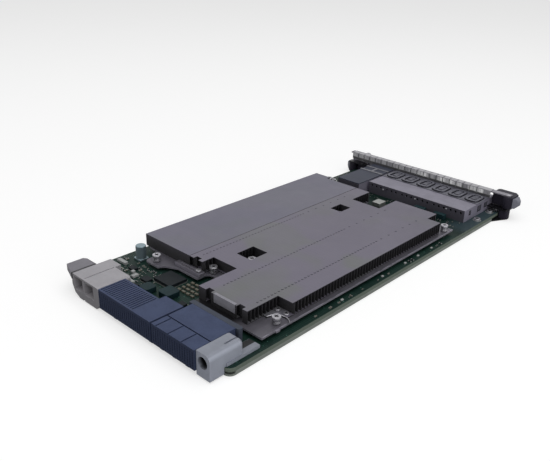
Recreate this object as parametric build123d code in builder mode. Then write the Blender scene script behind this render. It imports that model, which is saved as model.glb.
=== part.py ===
"""Plug-in baseband processing board: panel, cages, heat sinks and backplane connectors.

Millimetres. X runs along the front panel, -Y is the side of the front panel, +Y is the side of
the backplane connectors and +Z is up. The origin is under the middle of the part, on the plane
that the bottom tray rests on.
"""
import os
from math import cos, radians, sin

from build123d import *

os.makedirs("parts", exist_ok=True)

# Whole part along its depth
overall_length = 307.5
lever_proud = 9.0
panel_sheet = 1.5
connector_front_y = overall_length / 2
lever_front_y = -overall_length / 2
panel_front_y = lever_front_y + lever_proud
panel_rear_y = panel_front_y + panel_sheet
panel_gap = 0.25

# Ports across the panel: their widths and the margins beside them set the board's width
port_count = 6
port_pitch = 14.25
cage_width = port_count * port_pitch
wide_port_gap = 2.0
wide_port_width = 21.0
right_margin = 8.9
left_margin = 18.6
board_width = right_margin + cage_width + wide_port_gap + wide_port_width + left_margin
half_board = board_width / 2

# Board and tray
board_thickness = 2.4
board_front_gap = 4.25
connector_overhang = 10.55
board_corner = 4.0
tray_sheet = 1.0
tray_boss_height = 1.4
tray_boss_radius = 3.2
board_bottom_z = tray_sheet + tray_boss_height
board_top_z = board_bottom_z + board_thickness
board_front_y = panel_rear_y + board_front_gap
board_rear_y = connector_front_y - connector_overhang
board_mid_y = (board_rear_y + board_front_y) / 2

# Six-port cage
cage_wall = 0.3
cage_height = 9.2
cage_depth = 46.8
cage_proud = 2.5
cage_right_x = right_margin - half_board
cage_left_x = cage_right_x + cage_width
cage_front_y = panel_front_y - cage_proud
cage_rear_y = cage_front_y + cage_depth
cage_top_z = board_top_z + cage_height
cage_floor_length = 29.0
collar_length = 24.0
tab_width = 10.4
tab_length = 15.0
tab_ridge = 1.7
tab_height = 0.9
tab_corner = 4.0
vent_radius = 0.9
vent_spacing = 4.2
vent_drop = 2.4

# Single wide port beside it
wide_port_height = 8.8
wide_port_depth = 58.0
wide_left_x = cage_left_x + wide_port_gap + wide_port_width
wide_mid_x = wide_left_x - wide_port_width / 2
wide_rear_y = cage_front_y + wide_port_depth
wide_top_z = board_top_z + wide_port_height
wide_plate_sheet = 0.7

# Host connectors inside the cages
host_width = 12.0
host_length = 9.0
host_height = 6.4
host_gap = 0.5
host_side_wall = 1.2
host_slot_height = 1.4
host_slot_depth = 4.0
host_slot_z = 3.3

# Front panel: its top rises past the cage by the drop of the contact strip
panel_end_reach = 6.5
panel_half_width = half_board + panel_end_reach
strip_sheet = 0.3
strip_drop = 5.4
finger_pitch = 6.0
finger_slot = 0.8
strip_tie = 1.4
panel_height = cage_top_z + strip_drop
top_lip_depth = 5.0
top_lip_sheet = 0.9
bottom_lip_depth = 15.5
bottom_lip_chamfer = 6.5
end_notch_length = 18.0
end_notch_x = panel_half_width - end_notch_length
ear_sheet = 0.9
ear_depth = 8.0
ear_offset = 1.9
panel_mid_z = panel_height / 2
ear_outer_z = panel_mid_z + ear_offset
bottom_lip_rear_y = panel_front_y + bottom_lip_depth
tray_front_y = bottom_lip_rear_y

# Ejector levers and their pins
lever_pin_inset = 2.0
lever_end_reach = 2.1
lever_pin_setback = 1.25
lever_pin_x = panel_half_width - lever_pin_inset
lever_pin_radius = 1.5
lever_running_gap = 0.05
lever_gap = 0.2
lever_pin_y = panel_rear_y + lever_pin_setback
lever_hub_radius = 3.6
lever_inner_x = lever_gap + panel_gap - cage_right_x
lever_outer_x = panel_half_width + lever_end_reach
lever_bar_depth = lever_proud - cage_proud - lever_gap
lever_inner_chamfer = 1.6
lever_outer_chamfer = 3.0
hub_start = radians(60)
thumb_hollow_width = 9.0
thumb_hollow_depth = 1.6
thumb_hollow_inset = 7.5
thumb_hollow_margin = 1.5
cam_reach = 3.9
cam_slope = 3.0
cam_margin_z = 0.8
cam_chamfer = 2.2
lever_low_z = tray_sheet + lever_gap
lever_high_z = ear_outer_z - ear_sheet - lever_gap

# Captive screws
captive_inset = 4.5
captive_x = half_board - captive_inset
captive_knob_radius = 3.3
captive_knob_length = 6.4
captive_knurls = 18
captive_knurl_radius = 0.28
captive_slot_width = 0.9
captive_slot_length = 4.4
captive_slot_depth = 1.4
captive_shank_radius = 1.45
captive_running_gap = 0.05
captive_collar_radius = 2.6
captive_collar_length = 3.0
captive_side_gap = 0.15
captive_high_z = (ear_outer_z + panel_height - top_lip_sheet) / 2
captive_low_z = panel_height - captive_high_z

# Heat sinks: the left one and the main one meet at a seam
sink_board_gap = 2.1
sink_base_sheet = 1.2
fin_height = 8.1
fin_sheet = 0.4
fin_pitch = 2.8
sink_base_z = board_top_z + sink_board_gap
fin_bottom_z = sink_base_z + sink_base_sheet
fin_top_z = fin_bottom_z + fin_height
seam_inset = 46.9
seam_x = half_board - seam_inset
seam_gap = 0.3
sink_cage_space = 24.65
near_board_length = 50.4
sink_far_y = cage_rear_y + sink_cage_space
sink_near_y = board_rear_y - near_board_length
sink_length = sink_near_y - sink_far_y

# Backplane connectors
connector_top_z = 14.8
connector_base_z = 0.8
connector_gap = 0.3
signal_left_x = half_board - 41.8
signal_split_x = 47.9 - half_board
signal_right_x = 13.4 - half_board
power_right_x = signal_left_x + connector_gap
power_left_x = half_board - 15.5
guide_right_x = 3.5 - half_board
rail_right_x = signal_right_x - 2.4
end_block_gap = 0.3
end_block_left_x = half_board - 3.0
end_block_far_y = board_rear_y - 5.8
end_block_base_z = 10.6

# Board screws: shank in the tray's raised bosses
board_screw_shank = 1.2
board_screw_head = 2.3
board_screw_head_height = 1.4
board_screw_clearance = 0.3
board_screw_recess_width = 0.7
board_screw_recess_length = 2.8
board_screw_recess_depth = 0.8
screw_seat_gap = 0.05
screw_tip_z = 0.3
board_screw_spots = [
    (4.4 - half_board, board_front_y + 26.0),
    (half_board - 5.4, board_front_y + 39.0),
    (half_board - 6.5, board_rear_y - 21.2),
    (seam_x - 30.6, board_rear_y - 16.2),
    (seam_x - 29.1, cage_rear_y + 8.95),
    (half_board - 5.2, board_mid_y),
]
panel_boss_y = bottom_lip_rear_y - 5.0
panel_screw_spots = [(5.0 - half_board, panel_boss_y), (half_board - 8.0, panel_boss_y)]
all_board_screws = board_screw_spots + panel_screw_spots

# Spring screws: they pull the sink bases down through the board into the tray
spring_screw_shank = 1.3
spring_screw_head = 2.5
spring_screw_head_height = 2.2
spring_screw_recess_width = 0.8
spring_screw_recess_length = 3.0
spring_screw_recess_depth = 1.2
spring_outer_radius = 2.4
spring_wire = 0.6
spring_length = 2.4
spring_shank_clearance = 0.4
near_screw = (9.2 - half_board, sink_near_y + 8.0)
far_screw = (8.1 - half_board, sink_far_y + 5.4)
left_near_screw = (half_board - 26.3, sink_near_y + 9.2)
left_far_screw = (half_board - 11.4, sink_far_y - 10.6)
hole_one = ((seam_x - 30.0, seam_x - 17.7), (sink_near_y - 37.0, sink_near_y - 22.6))
hole_two = ((seam_x - 21.2, seam_x - 11.9), (sink_far_y + 35.7, sink_far_y + 47.2))
hole_one_screw = (sum(hole_one[0]) / 2, sum(hole_one[1]) / 2)
hole_two_screw = (sum(hole_two[0]) / 2, sum(hole_two[1]) / 2)
cut_screw = (seam_x - 15.4, sink_near_y - 5.6)
spring_screw_spots = [
    near_screw,
    far_screw,
    left_near_screw,
    left_far_screw,
    hole_one_screw,
    hole_two_screw,
    cut_screw,
]


def box_between(x_pair, y_pair, z_pair):
    """The middle and the size of a block given by its low and high sides."""
    middle = [(pair[0] + pair[1]) / 2 for pair in (x_pair, y_pair, z_pair)]
    size = [abs(pair[1] - pair[0]) for pair in (x_pair, y_pair, z_pair)]
    return middle, size


def add_block(x_pair, y_pair, z_pair, mode=Mode.ADD):
    """Add, cut or keep a block given by its low and high sides."""
    middle, size = box_between(x_pair, y_pair, z_pair)
    with Locations(tuple(middle)):
        Box(*size, mode=mode)


# Bottom tray: folded sheet with turned-up sides and raised bosses under the board
tray_length = board_rear_y - tray_front_y
tray_mid_y = (board_rear_y + tray_front_y) / 2
with BuildPart() as board_tray:
    with BuildSketch(Plane.XY):
        with Locations((0, tray_mid_y)):
            Rectangle(board_width, tray_length)
        tray_rear_corners = vertices().group_by(Axis.Y)[-1]
        fillet(tray_rear_corners, board_corner)
    extrude(amount=tray_sheet)
    for side in (-1, 1):
        rim_inner = side * (half_board - tray_sheet)
        rim_pair = (rim_inner, side * half_board)
        add_block(rim_pair, (tray_front_y, board_rear_y - board_corner), (tray_sheet, board_bottom_z))
    with BuildSketch(Plane.XY.offset(tray_sheet)):
        with Locations(*board_screw_spots, *spring_screw_spots):
            Circle(tray_boss_radius)
    extrude(amount=tray_boss_height)
    with BuildSketch(Plane.XY):
        with Locations(*board_screw_spots):
            Circle(board_screw_shank + screw_seat_gap)
        with Locations(*spring_screw_spots):
            Circle(spring_screw_shank + screw_seat_gap)
    extrude(amount=board_bottom_z, mode=Mode.SUBTRACT)
board_tray.part.label = "board_tray"
export_step(board_tray.part, "parts/board_tray.step")

# Circuit board
board_length = board_rear_y - board_front_y
with BuildPart() as circuit_board:
    with BuildSketch(Plane.XY.offset(board_bottom_z)):
        with Locations((0, board_mid_y)):
            Rectangle(board_width, board_length)
        board_rear_corners = vertices().group_by(Axis.Y)[-1]
        fillet(board_rear_corners, board_corner)
        with Locations(*all_board_screws):
            Circle(board_screw_shank + board_screw_clearance, mode=Mode.SUBTRACT)
        with Locations(*spring_screw_spots):
            Circle(spring_screw_shank + spring_shank_clearance, mode=Mode.SUBTRACT)
    extrude(amount=board_thickness)
circuit_board.part.label = "circuit_board"
export_step(circuit_board.part, "parts/circuit_board.step")

# Status lights: two above each port
light_radius = 0.9
light_gap = 0.05
light_lift = 0.2
light_side = 2.6
light_z = (cage_top_z + panel_height - top_lip_sheet) / 2 + light_lift
port_mids = [cage_left_x - (port + 0.5) * port_pitch for port in range(port_count)] + [wide_mid_x]
light_spots = [(mid + side * light_side, light_z) for mid in port_mids for side in (-1, 1)]

# Front panel: one folded sheet, with the two ends alike under half a turn about the depth axis
with BuildPart() as front_panel:
    add_block((-panel_half_width, panel_half_width), (panel_front_y, panel_rear_y), (0, panel_height))
    add_block(
        (-panel_half_width, panel_half_width),
        (panel_front_y, panel_front_y + top_lip_depth),
        (panel_height - top_lip_sheet, panel_height),
    )
    with BuildSketch(Plane.XY):
        with BuildLine():
            Polyline(
                (-panel_half_width, panel_front_y),
                (-panel_half_width, panel_rear_y + panel_sheet),
                (-panel_half_width + bottom_lip_chamfer, bottom_lip_rear_y),
                (panel_half_width - bottom_lip_chamfer, bottom_lip_rear_y),
                (panel_half_width, panel_rear_y + panel_sheet),
                (panel_half_width, panel_front_y),
                close=True,
            )
        make_face()
    extrude(amount=tray_sheet)
    # Raised bosses on the lower lip carry the front of the board
    with BuildSketch(Plane.XY.offset(tray_sheet)):
        with Locations(*panel_screw_spots):
            Circle(tray_boss_radius)
    extrude(amount=tray_boss_height)
    with BuildSketch(Plane.XY):
        with Locations(*panel_screw_spots):
            Circle(board_screw_shank + screw_seat_gap)
    extrude(amount=board_bottom_z, mode=Mode.SUBTRACT)
    # Notch for the lever at each end, and the folded ear beside it, short of the cage
    ear_inner_x = panel_gap - cage_right_x
    for turned in (False, True):
        notch_x = (end_notch_x, panel_half_width + panel_sheet)
        notch_z = (tray_sheet, ear_outer_z)
        ear_x = (ear_inner_x, panel_half_width)
        ear_z = (ear_outer_z - ear_sheet, ear_outer_z)
        if turned:
            notch_x = (-notch_x[1], -notch_x[0])
            notch_z = (panel_height - ear_outer_z, panel_height - top_lip_sheet)
            ear_x = (-ear_x[1], -ear_x[0])
            ear_z = (panel_height - ear_outer_z, panel_height - ear_outer_z + ear_sheet)
        add_block(notch_x, (panel_front_y - 1, panel_rear_y), notch_z, Mode.SUBTRACT)
        add_block(ear_x, (panel_front_y, panel_front_y + ear_depth), ear_z)
    # Openings for the two cages
    cage_slot_x = (cage_right_x - panel_gap, cage_left_x + panel_gap)
    cage_slot_z = (board_top_z - panel_gap, cage_top_z + panel_gap)
    add_block(cage_slot_x, (panel_front_y - 1, panel_rear_y), cage_slot_z, Mode.SUBTRACT)
    wide_slot_x = (wide_left_x - wide_port_width - panel_gap, wide_left_x + panel_gap)
    wide_slot_z = (board_top_z - panel_gap, wide_top_z + panel_gap)
    add_block(wide_slot_x, (panel_front_y - 1, panel_rear_y), wide_slot_z, Mode.SUBTRACT)
    # Holes for the captive screws, the lever pins and the status lights
    with Locations((captive_x, panel_front_y, captive_high_z), (-captive_x, panel_front_y, captive_low_z)):
        Cylinder(
            captive_shank_radius + captive_running_gap,
            4 * panel_sheet,
            rotation=(90, 0, 0),
            mode=Mode.SUBTRACT,
        )
    with Locations((lever_pin_x, lever_pin_y, panel_mid_z), (-lever_pin_x, lever_pin_y, panel_mid_z)):
        Cylinder(lever_pin_radius, 2 * panel_height, mode=Mode.SUBTRACT)
    with Locations(*[(x, panel_front_y, z) for x, z in light_spots]):
        Cylinder(light_radius + light_gap, 4 * panel_sheet, rotation=(90, 0, 0), mode=Mode.SUBTRACT)
front_panel.part.label = "front_panel"
export_step(front_panel.part, "parts/front_panel.step")

# Sprung contact strip clipped over the top lip
strip_left_inset = 2.0
strip_right_reach = 2.5
strip_left_x = panel_half_width - strip_left_inset
strip_right_x = -end_notch_x - strip_right_reach
strip_rear_y = panel_front_y + top_lip_depth
roof_plate_front_y = strip_rear_y + strip_sheet + panel_gap
with BuildPart() as contact_strip:
    add_block(
        (strip_right_x, strip_left_x),
        (panel_front_y, strip_rear_y + strip_sheet),
        (panel_height, panel_height + strip_sheet),
    )
    add_block(
        (strip_right_x, strip_left_x),
        (strip_rear_y, strip_rear_y + strip_sheet),
        (panel_height - strip_drop, panel_height),
    )
    finger_count = int((strip_left_x - strip_right_x) / finger_pitch)
    slot_middle, slot_size = box_between(
        (0, finger_slot),
        (panel_front_y + strip_tie, strip_rear_y + 2 * strip_sheet),
        (panel_height - strip_drop + strip_tie, panel_height + 2 * strip_sheet),
    )
    slot_xs = [strip_left_x - n * finger_pitch for n in range(1, finger_count)]
    with Locations(*[(x, slot_middle[1], slot_middle[2]) for x in slot_xs]):
        Box(*slot_size, mode=Mode.SUBTRACT)
contact_strip.part.label = "contact_strip"
export_step(contact_strip.part, "parts/contact_strip.step")

# Light pipes: a clear bar behind the panel with a stub through each hole
pipe_bar_depth = 2.4
pipe_stub_proud = 0.4
pipe_bar_half = 1.1
pipe_bar_reach = 1.5
with BuildPart() as light_pipes:
    bar_left_x = max(x for x, z in light_spots) + pipe_bar_reach
    bar_right_x = min(x for x, z in light_spots) - pipe_bar_reach
    add_block(
        (bar_right_x, bar_left_x),
        (panel_rear_y, panel_rear_y + pipe_bar_depth),
        (light_z - pipe_bar_half, light_z + pipe_bar_half),
    )
    stub_length = panel_sheet + pipe_stub_proud
    with Locations(*[(x, panel_rear_y - stub_length / 2, z) for x, z in light_spots]):
        Cylinder(light_radius, stub_length, rotation=(90, 0, 0))
light_pipes.part.label = "light_pipes"
export_step(light_pipes.part, "parts/light_pipes.step")

# Ejector levers, their cams and pins: the second is the first after half a turn
lever_bar_y = (lever_front_y, lever_front_y + lever_bar_depth)
collar_offset = panel_sheet + 2 * captive_side_gap
lever_web_y = panel_rear_y + lever_gap
hub_corner_x = lever_pin_x + lever_hub_radius * cos(hub_start)
hub_corner_y = lever_pin_y + lever_hub_radius * sin(hub_start)
cam_front_y = lever_bar_y[0] + lever_outer_chamfer + 2 * lever_gap
for turned, side_name in ((False, "left"), (True, "right")):
    lever_bottom_z = lever_low_z
    lever_side = 1
    if turned:
        lever_bottom_z = panel_height - lever_high_z + tray_sheet - top_lip_sheet
        lever_side = -1
    lever_height = lever_high_z - lever_low_z
    with BuildPart() as ejector_lever:
        with BuildSketch(Plane.XY.offset(lever_bottom_z)):
            with BuildLine():
                Polyline(
                    (lever_side * lever_inner_x, lever_bar_y[0] + lever_inner_chamfer),
                    (lever_side * (lever_inner_x + lever_inner_chamfer), lever_bar_y[0]),
                    (lever_side * (lever_outer_x - lever_outer_chamfer), lever_bar_y[0]),
                    (lever_side * lever_outer_x, lever_bar_y[0] + lever_outer_chamfer),
                    (lever_side * lever_outer_x, lever_pin_y + lever_pin_radius),
                    (lever_side * hub_corner_x, hub_corner_y),
                    (lever_side * lever_pin_x, lever_pin_y + lever_hub_radius),
                    (lever_side * (lever_pin_x - lever_hub_radius), lever_pin_y),
                    (lever_side * (lever_pin_x - lever_hub_radius), lever_web_y),
                    (lever_side * lever_inner_x, lever_web_y),
                    close=True,
                )
            make_face()
            with Locations((lever_side * lever_pin_x, lever_pin_y)):
                Circle(lever_hub_radius)
                Circle(lever_pin_radius + lever_running_gap, mode=Mode.SUBTRACT)
        extrude(amount=lever_height)
        # Thumb hollow in the front of the bar
        hollow_x = lever_side * (lever_inner_x + thumb_hollow_inset)
        hollow_height = lever_height - 2 * thumb_hollow_margin
        with Locations((hollow_x, lever_bar_y[0], lever_bottom_z + lever_height / 2)):
            Box(thumb_hollow_width, thumb_hollow_depth, hollow_height, mode=Mode.SUBTRACT)
    ejector_lever.part.label = f"ejector_lever_{side_name}"
    export_step(ejector_lever.part, f"parts/ejector_lever_{side_name}.step")

    cam_bottom_z = lever_bottom_z + cam_margin_z
    with BuildPart() as ejector_cam:
        with BuildSketch(Plane.XY.offset(cam_bottom_z)):
            with BuildLine():
                Polyline(
                    (lever_side * lever_outer_x, cam_front_y),
                    (lever_side * (lever_outer_x + cam_reach), cam_front_y + cam_slope),
                    (lever_side * (lever_outer_x + cam_reach), lever_pin_y - lever_pin_radius),
                    (lever_side * lever_outer_x, lever_pin_y + lever_pin_radius - lever_gap),
                    close=True,
                )
            make_face()
        extrude(amount=lever_height - 2 * cam_margin_z)
        cam_outer_edges = ejector_cam.edges().filter_by(Axis.Y)
        chamfer(cam_outer_edges.group_by(Axis.X)[-1 if lever_side > 0 else 0], cam_chamfer)
    ejector_cam.part.label = f"ejector_cam_{side_name}"
    export_step(ejector_cam.part, f"parts/ejector_cam_{side_name}.step")

    pin_low_z = 0.0
    pin_high_z = ear_outer_z
    if turned:
        pin_low_z = panel_height - ear_outer_z
        pin_high_z = panel_height
    with BuildPart() as ejector_pin:
        with BuildSketch(Plane.XY.offset(pin_low_z)):
            with Locations((lever_side * lever_pin_x, lever_pin_y)):
                Circle(lever_pin_radius)
        extrude(amount=pin_high_z - pin_low_z)
    ejector_pin.part.label = f"ejector_pin_{side_name}"
    export_step(ejector_pin.part, f"parts/ejector_pin_{side_name}.step")

    captive_z = captive_high_z
    if turned:
        captive_z = captive_low_z
    with BuildPart() as captive_screw:
        shank_plane = Plane(
            origin=(lever_side * captive_x, panel_front_y - captive_side_gap, captive_z),
            x_dir=(1, 0, 0),
            z_dir=(0, -1, 0),
        )
        with BuildSketch(shank_plane):
            Circle(captive_knob_radius)
            with PolarLocations(captive_knob_radius, captive_knurls):
                Circle(captive_knurl_radius, mode=Mode.SUBTRACT)
        extrude(amount=captive_knob_length)
        with BuildSketch(shank_plane.offset(captive_knob_length)):
            Rectangle(captive_slot_width, captive_slot_length)
            Rectangle(captive_slot_length, captive_slot_width)
        extrude(amount=-captive_slot_depth, mode=Mode.SUBTRACT)
        with BuildSketch(shank_plane):
            Circle(captive_shank_radius)
        extrude(amount=-collar_offset)
        with BuildSketch(shank_plane.offset(-collar_offset)):
            Circle(captive_collar_radius)
        extrude(amount=-captive_collar_length / 2)
        with BuildSketch(shank_plane.offset(-collar_offset - captive_collar_length / 2)):
            Circle(captive_shank_radius)
        extrude(amount=-captive_collar_length / 2)
    captive_screw.part.label = f"captive_screw_{side_name}"
    export_step(captive_screw.part, f"parts/captive_screw_{side_name}.step")

# Black block behind the lower band of the panel, under the right lever
stop_block_reach = 0.5
stop_block_depth = 5.6
stop_block_chamfer = 1.2
block_top_z = panel_height - ear_outer_z
with BuildPart() as lever_stop_block:
    add_block(
        (-panel_half_width - stop_block_reach, -half_board - panel_gap),
        (panel_rear_y, panel_rear_y + stop_block_depth),
        (tray_sheet, block_top_z),
    )
    chamfer(lever_stop_block.edges().filter_by(Axis.Z).group_by(Axis.Y)[-1], stop_block_chamfer)
lever_stop_block.part.label = "lever_stop_block"
export_step(lever_stop_block.part, "parts/lever_stop_block.step")

# Six-port cage: thin sheet tunnels, open at the front, with the floor cut away over the connectors
bay_pitch = (cage_width - cage_wall) / port_count
bay_width = bay_pitch - cage_wall
bay_mids = [cage_left_x - cage_wall / 2 - (n + 0.5) * bay_pitch for n in range(port_count)]
with BuildPart() as port_cage:
    add_block((cage_right_x, cage_left_x), (cage_front_y, cage_rear_y), (board_top_z, cage_top_z))
    bay_length = cage_depth - cage_wall
    bay_height = cage_height - 2 * cage_wall
    with Locations(*[(x, cage_front_y + bay_length / 2, board_top_z + cage_height / 2) for x in bay_mids]):
        Box(bay_width, bay_length, bay_height, mode=Mode.SUBTRACT)
    open_length = bay_length - cage_floor_length
    with Locations(*[(x, cage_front_y + bay_length - open_length / 2, board_top_z) for x in bay_mids]):
        Box(bay_width, open_length, 2 * cage_wall, mode=Mode.SUBTRACT)
    # Round vents in the rear wall
    vent_xs = [x + step * vent_spacing for x in bay_mids for step in (-1, 0, 1)]
    with Locations(*[(x, cage_rear_y, cage_top_z - vent_drop) for x in vent_xs]):
        Cylinder(vent_radius, 4 * cage_wall, rotation=(90, 0, 0), mode=Mode.SUBTRACT)
port_cage.part.label = "port_cage"
export_step(port_cage.part, "parts/port_cage.step")

# Spring collar on the cage's roof: a thin plate with a raised U-shaped tab over each port
collar_rear_y = panel_rear_y + collar_length
with BuildPart() as cage_collar:
    add_block(
        (cage_right_x, cage_left_x),
        (roof_plate_front_y, collar_rear_y),
        (cage_top_z, cage_top_z + cage_wall),
    )
    tab_mid_y = collar_rear_y - tab_ridge - tab_length / 2
    with BuildSketch(Plane.XY.offset(cage_top_z + cage_wall)):
        with Locations(*[(x, tab_mid_y) for x in bay_mids]):
            RectangleRounded(tab_width, tab_length, tab_corner)
        with Locations(*[(x, tab_mid_y) for x in bay_mids]):
            RectangleRounded(
                tab_width - 2 * tab_ridge,
                tab_length - 2 * tab_ridge,
                tab_corner - tab_ridge,
                mode=Mode.SUBTRACT,
            )
    extrude(amount=tab_height)
    with BuildSketch(Plane.XY.offset(cage_top_z + cage_wall)):
        with Locations(*[(x, tab_mid_y - tab_ridge) for x in bay_mids]):
            Rectangle(tab_width - 4 * tab_ridge, tab_length - 4 * tab_ridge)
    extrude(amount=tab_height / 2)
cage_collar.part.label = "cage_collar"
export_step(cage_collar.part, "parts/cage_collar.step")

# Host connectors at the back of each bay
host_mid_y = cage_rear_y - cage_wall - host_gap - host_length / 2
with BuildPart() as port_connectors:
    with Locations(*[(x, host_mid_y, board_top_z + host_height / 2) for x in bay_mids]):
        Box(host_width, host_length, host_height)
    with Locations(*[(x, host_mid_y - host_length / 2, board_top_z + host_slot_z) for x in bay_mids]):
        Box(host_width - 2 * host_side_wall, 2 * host_slot_depth, host_slot_height, mode=Mode.SUBTRACT)
port_connectors.part.label = "port_connectors"
export_step(port_connectors.part, "parts/port_connectors.step")

# Wide port: cage, its flat top plate with a spring clip, and its connector
wide_wall = 0.4
wide_floor_length = 38.0
with BuildPart() as wide_cage:
    add_block(
        (wide_left_x - wide_port_width, wide_left_x),
        (cage_front_y, wide_rear_y),
        (board_top_z, wide_top_z),
    )
    wide_inner_x = (wide_left_x - wide_port_width + wide_wall, wide_left_x - wide_wall)
    add_block(
        wide_inner_x,
        (cage_front_y - 1, wide_rear_y - wide_wall),
        (board_top_z + wide_wall, wide_top_z - wide_wall),
        Mode.SUBTRACT,
    )
    add_block(
        wide_inner_x,
        (cage_front_y + wide_floor_length, wide_rear_y - wide_wall),
        (board_top_z - 1, board_top_z + wide_wall),
        Mode.SUBTRACT,
    )
wide_cage.part.label = "wide_cage"
export_step(wide_cage.part, "parts/wide_cage.step")

wide_plate_top_z = wide_top_z + wide_plate_sheet
with BuildPart() as wide_cage_plate:
    add_block(
        (wide_left_x - wide_port_width, wide_left_x),
        (roof_plate_front_y, wide_rear_y),
        (wide_top_z, wide_plate_top_z),
    )
wide_cage_plate.part.label = "wide_cage_plate"
export_step(wide_cage_plate.part, "parts/wide_cage_plate.step")

clip_band = 2.2
clip_sheet = 0.4
clip_setback = 18.0
clip_half_length = 4.5
clip_side_drop = 3.0
with BuildPart() as wide_cage_clip:
    clip_mid_y = panel_rear_y + clip_setback
    clip_x = (wide_left_x - wide_port_width - clip_sheet, wide_left_x + clip_sheet)
    for clip_y in (clip_mid_y - clip_half_length, clip_mid_y + clip_half_length):
        add_block(
            clip_x,
            (clip_y - clip_band / 2, clip_y + clip_band / 2),
            (wide_plate_top_z, wide_plate_top_z + clip_sheet),
        )
        for edge_x in (clip_x[0], clip_x[1] - clip_sheet):
            add_block(
                (edge_x, edge_x + clip_sheet),
                (clip_y - clip_band / 2, clip_y + clip_band / 2),
                (wide_plate_top_z - clip_side_drop, wide_plate_top_z),
            )
    add_block(
        (wide_mid_x - clip_band / 2, wide_mid_x + clip_band / 2),
        (clip_mid_y - clip_half_length, clip_mid_y + clip_half_length),
        (wide_plate_top_z, wide_plate_top_z + clip_sheet),
    )
wide_cage_clip.part.label = "wide_cage_clip"
export_step(wide_cage_clip.part, "parts/wide_cage_clip.step")

wide_host_width = 17.0
wide_host_length = 10.0
wide_host_height = 6.6
wide_slot_half = wide_host_width / 2 - host_side_wall
with BuildPart() as wide_connector:
    wide_host_rear_y = wide_rear_y - wide_wall - host_gap
    add_block(
        (wide_mid_x - wide_host_width / 2, wide_mid_x + wide_host_width / 2),
        (wide_host_rear_y - wide_host_length, wide_host_rear_y),
        (board_top_z, board_top_z + wide_host_height),
    )
    add_block(
        (wide_mid_x - wide_slot_half, wide_mid_x + wide_slot_half),
        (wide_host_rear_y - wide_host_length - 1, wide_host_rear_y - wide_host_length + host_slot_depth),
        (board_top_z + host_slot_z - host_slot_height / 2, board_top_z + host_slot_z + host_slot_height / 2),
        Mode.SUBTRACT,
    )
wide_connector.part.label = "wide_connector"
export_step(wide_connector.part, "parts/wide_connector.step")

# Main heat sink outline, seen from above, with its cut-outs
main_right_x = 8.1 - half_board
main_near_y = sink_near_y + 20.1
corner_cut_x = main_right_x + 10.8
corner_cut_y = main_near_y - 23.5
near_cut_left_x = seam_x - 11.7
near_cut_right_x = seam_x - 31.9
near_cut_far_y = sink_near_y - 9.2
far_notch_left_x = seam_x - 12.3
far_notch_right_x = seam_x - 36.4
far_notch_near_y = sink_far_y + 21.6
far_corner_x = main_right_x + 10.2
far_corner_y = sink_far_y + 12.1
edge_notch_depth = 2.8
edge_notch_half = 2.2
near_notch_spots = [main_right_x + 41.1, main_right_x + 16.7]
seam_notch_x = seam_x - 6.1
main_outline = [
    (seam_x - seam_gap, sink_far_y),
    (seam_x - seam_gap, sink_near_y),
    (near_cut_left_x, sink_near_y),
    (near_cut_left_x, near_cut_far_y),
    (near_cut_right_x, near_cut_far_y),
    (near_cut_right_x, main_near_y),
    (corner_cut_x, main_near_y),
    (corner_cut_x, corner_cut_y),
    (main_right_x, corner_cut_y),
    (main_right_x, far_corner_y),
    (far_corner_x, far_corner_y),
    (far_corner_x, sink_far_y),
    (far_notch_right_x, sink_far_y),
    (far_notch_right_x, far_notch_near_y),
    (far_notch_left_x, far_notch_near_y),
    (far_notch_left_x, sink_far_y),
]

# Main sink base: the plate under the fins, reaching out to its two spring screws on the right
base_overhang = 3.4
base_near_reach = 3.5
base_far_reach = 1.4
edge_tab_width = 1.8
edge_tab_length = 3.0
edge_tab_y = main_near_y - 7.9
main_base_right_x = main_right_x - base_overhang
with BuildPart() as main_sink_base:
    with BuildSketch(Plane.XY.offset(sink_base_z)):
        with BuildLine():
            Polyline(
                (seam_x - seam_gap, sink_far_y),
                (seam_x - seam_gap, sink_near_y),
                (near_cut_left_x, sink_near_y),
                (near_cut_left_x, near_cut_far_y),
                (near_cut_right_x, near_cut_far_y),
                (near_cut_right_x, main_near_y + base_near_reach),
                (main_base_right_x, main_near_y + base_near_reach),
                (main_base_right_x, sink_far_y - base_far_reach),
                (far_corner_x, sink_far_y - base_far_reach),
                (far_corner_x, sink_far_y),
                (far_notch_right_x, sink_far_y),
                (far_notch_right_x, far_notch_near_y),
                (far_notch_left_x, far_notch_near_y),
                (far_notch_left_x, sink_far_y),
                close=True,
            )
        make_face()
        # Small tab on the long edge, near the front screw
        with Locations((main_base_right_x, edge_tab_y)):
            Rectangle(edge_tab_width, edge_tab_length)
        with Locations(near_screw, far_screw, hole_one_screw, hole_two_screw):
            Circle(spring_screw_shank + spring_shank_clearance, mode=Mode.SUBTRACT)
    extrude(amount=sink_base_sheet)
main_sink_base.part.label = "main_sink_base"
export_step(main_sink_base.part, "parts/main_sink_base.step")


def channel_spots(low_x, high_x, near_y, count):
    """Middles of the air channels between the fins, counted from the near end."""
    mid_x = (low_x + high_x) / 2
    mid_z = fin_bottom_z + fin_height / 2
    first_y = near_y - fin_sheet - (fin_pitch - fin_sheet) / 2
    return [(mid_x, first_y - n * fin_pitch, mid_z) for n in range(count)]


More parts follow.
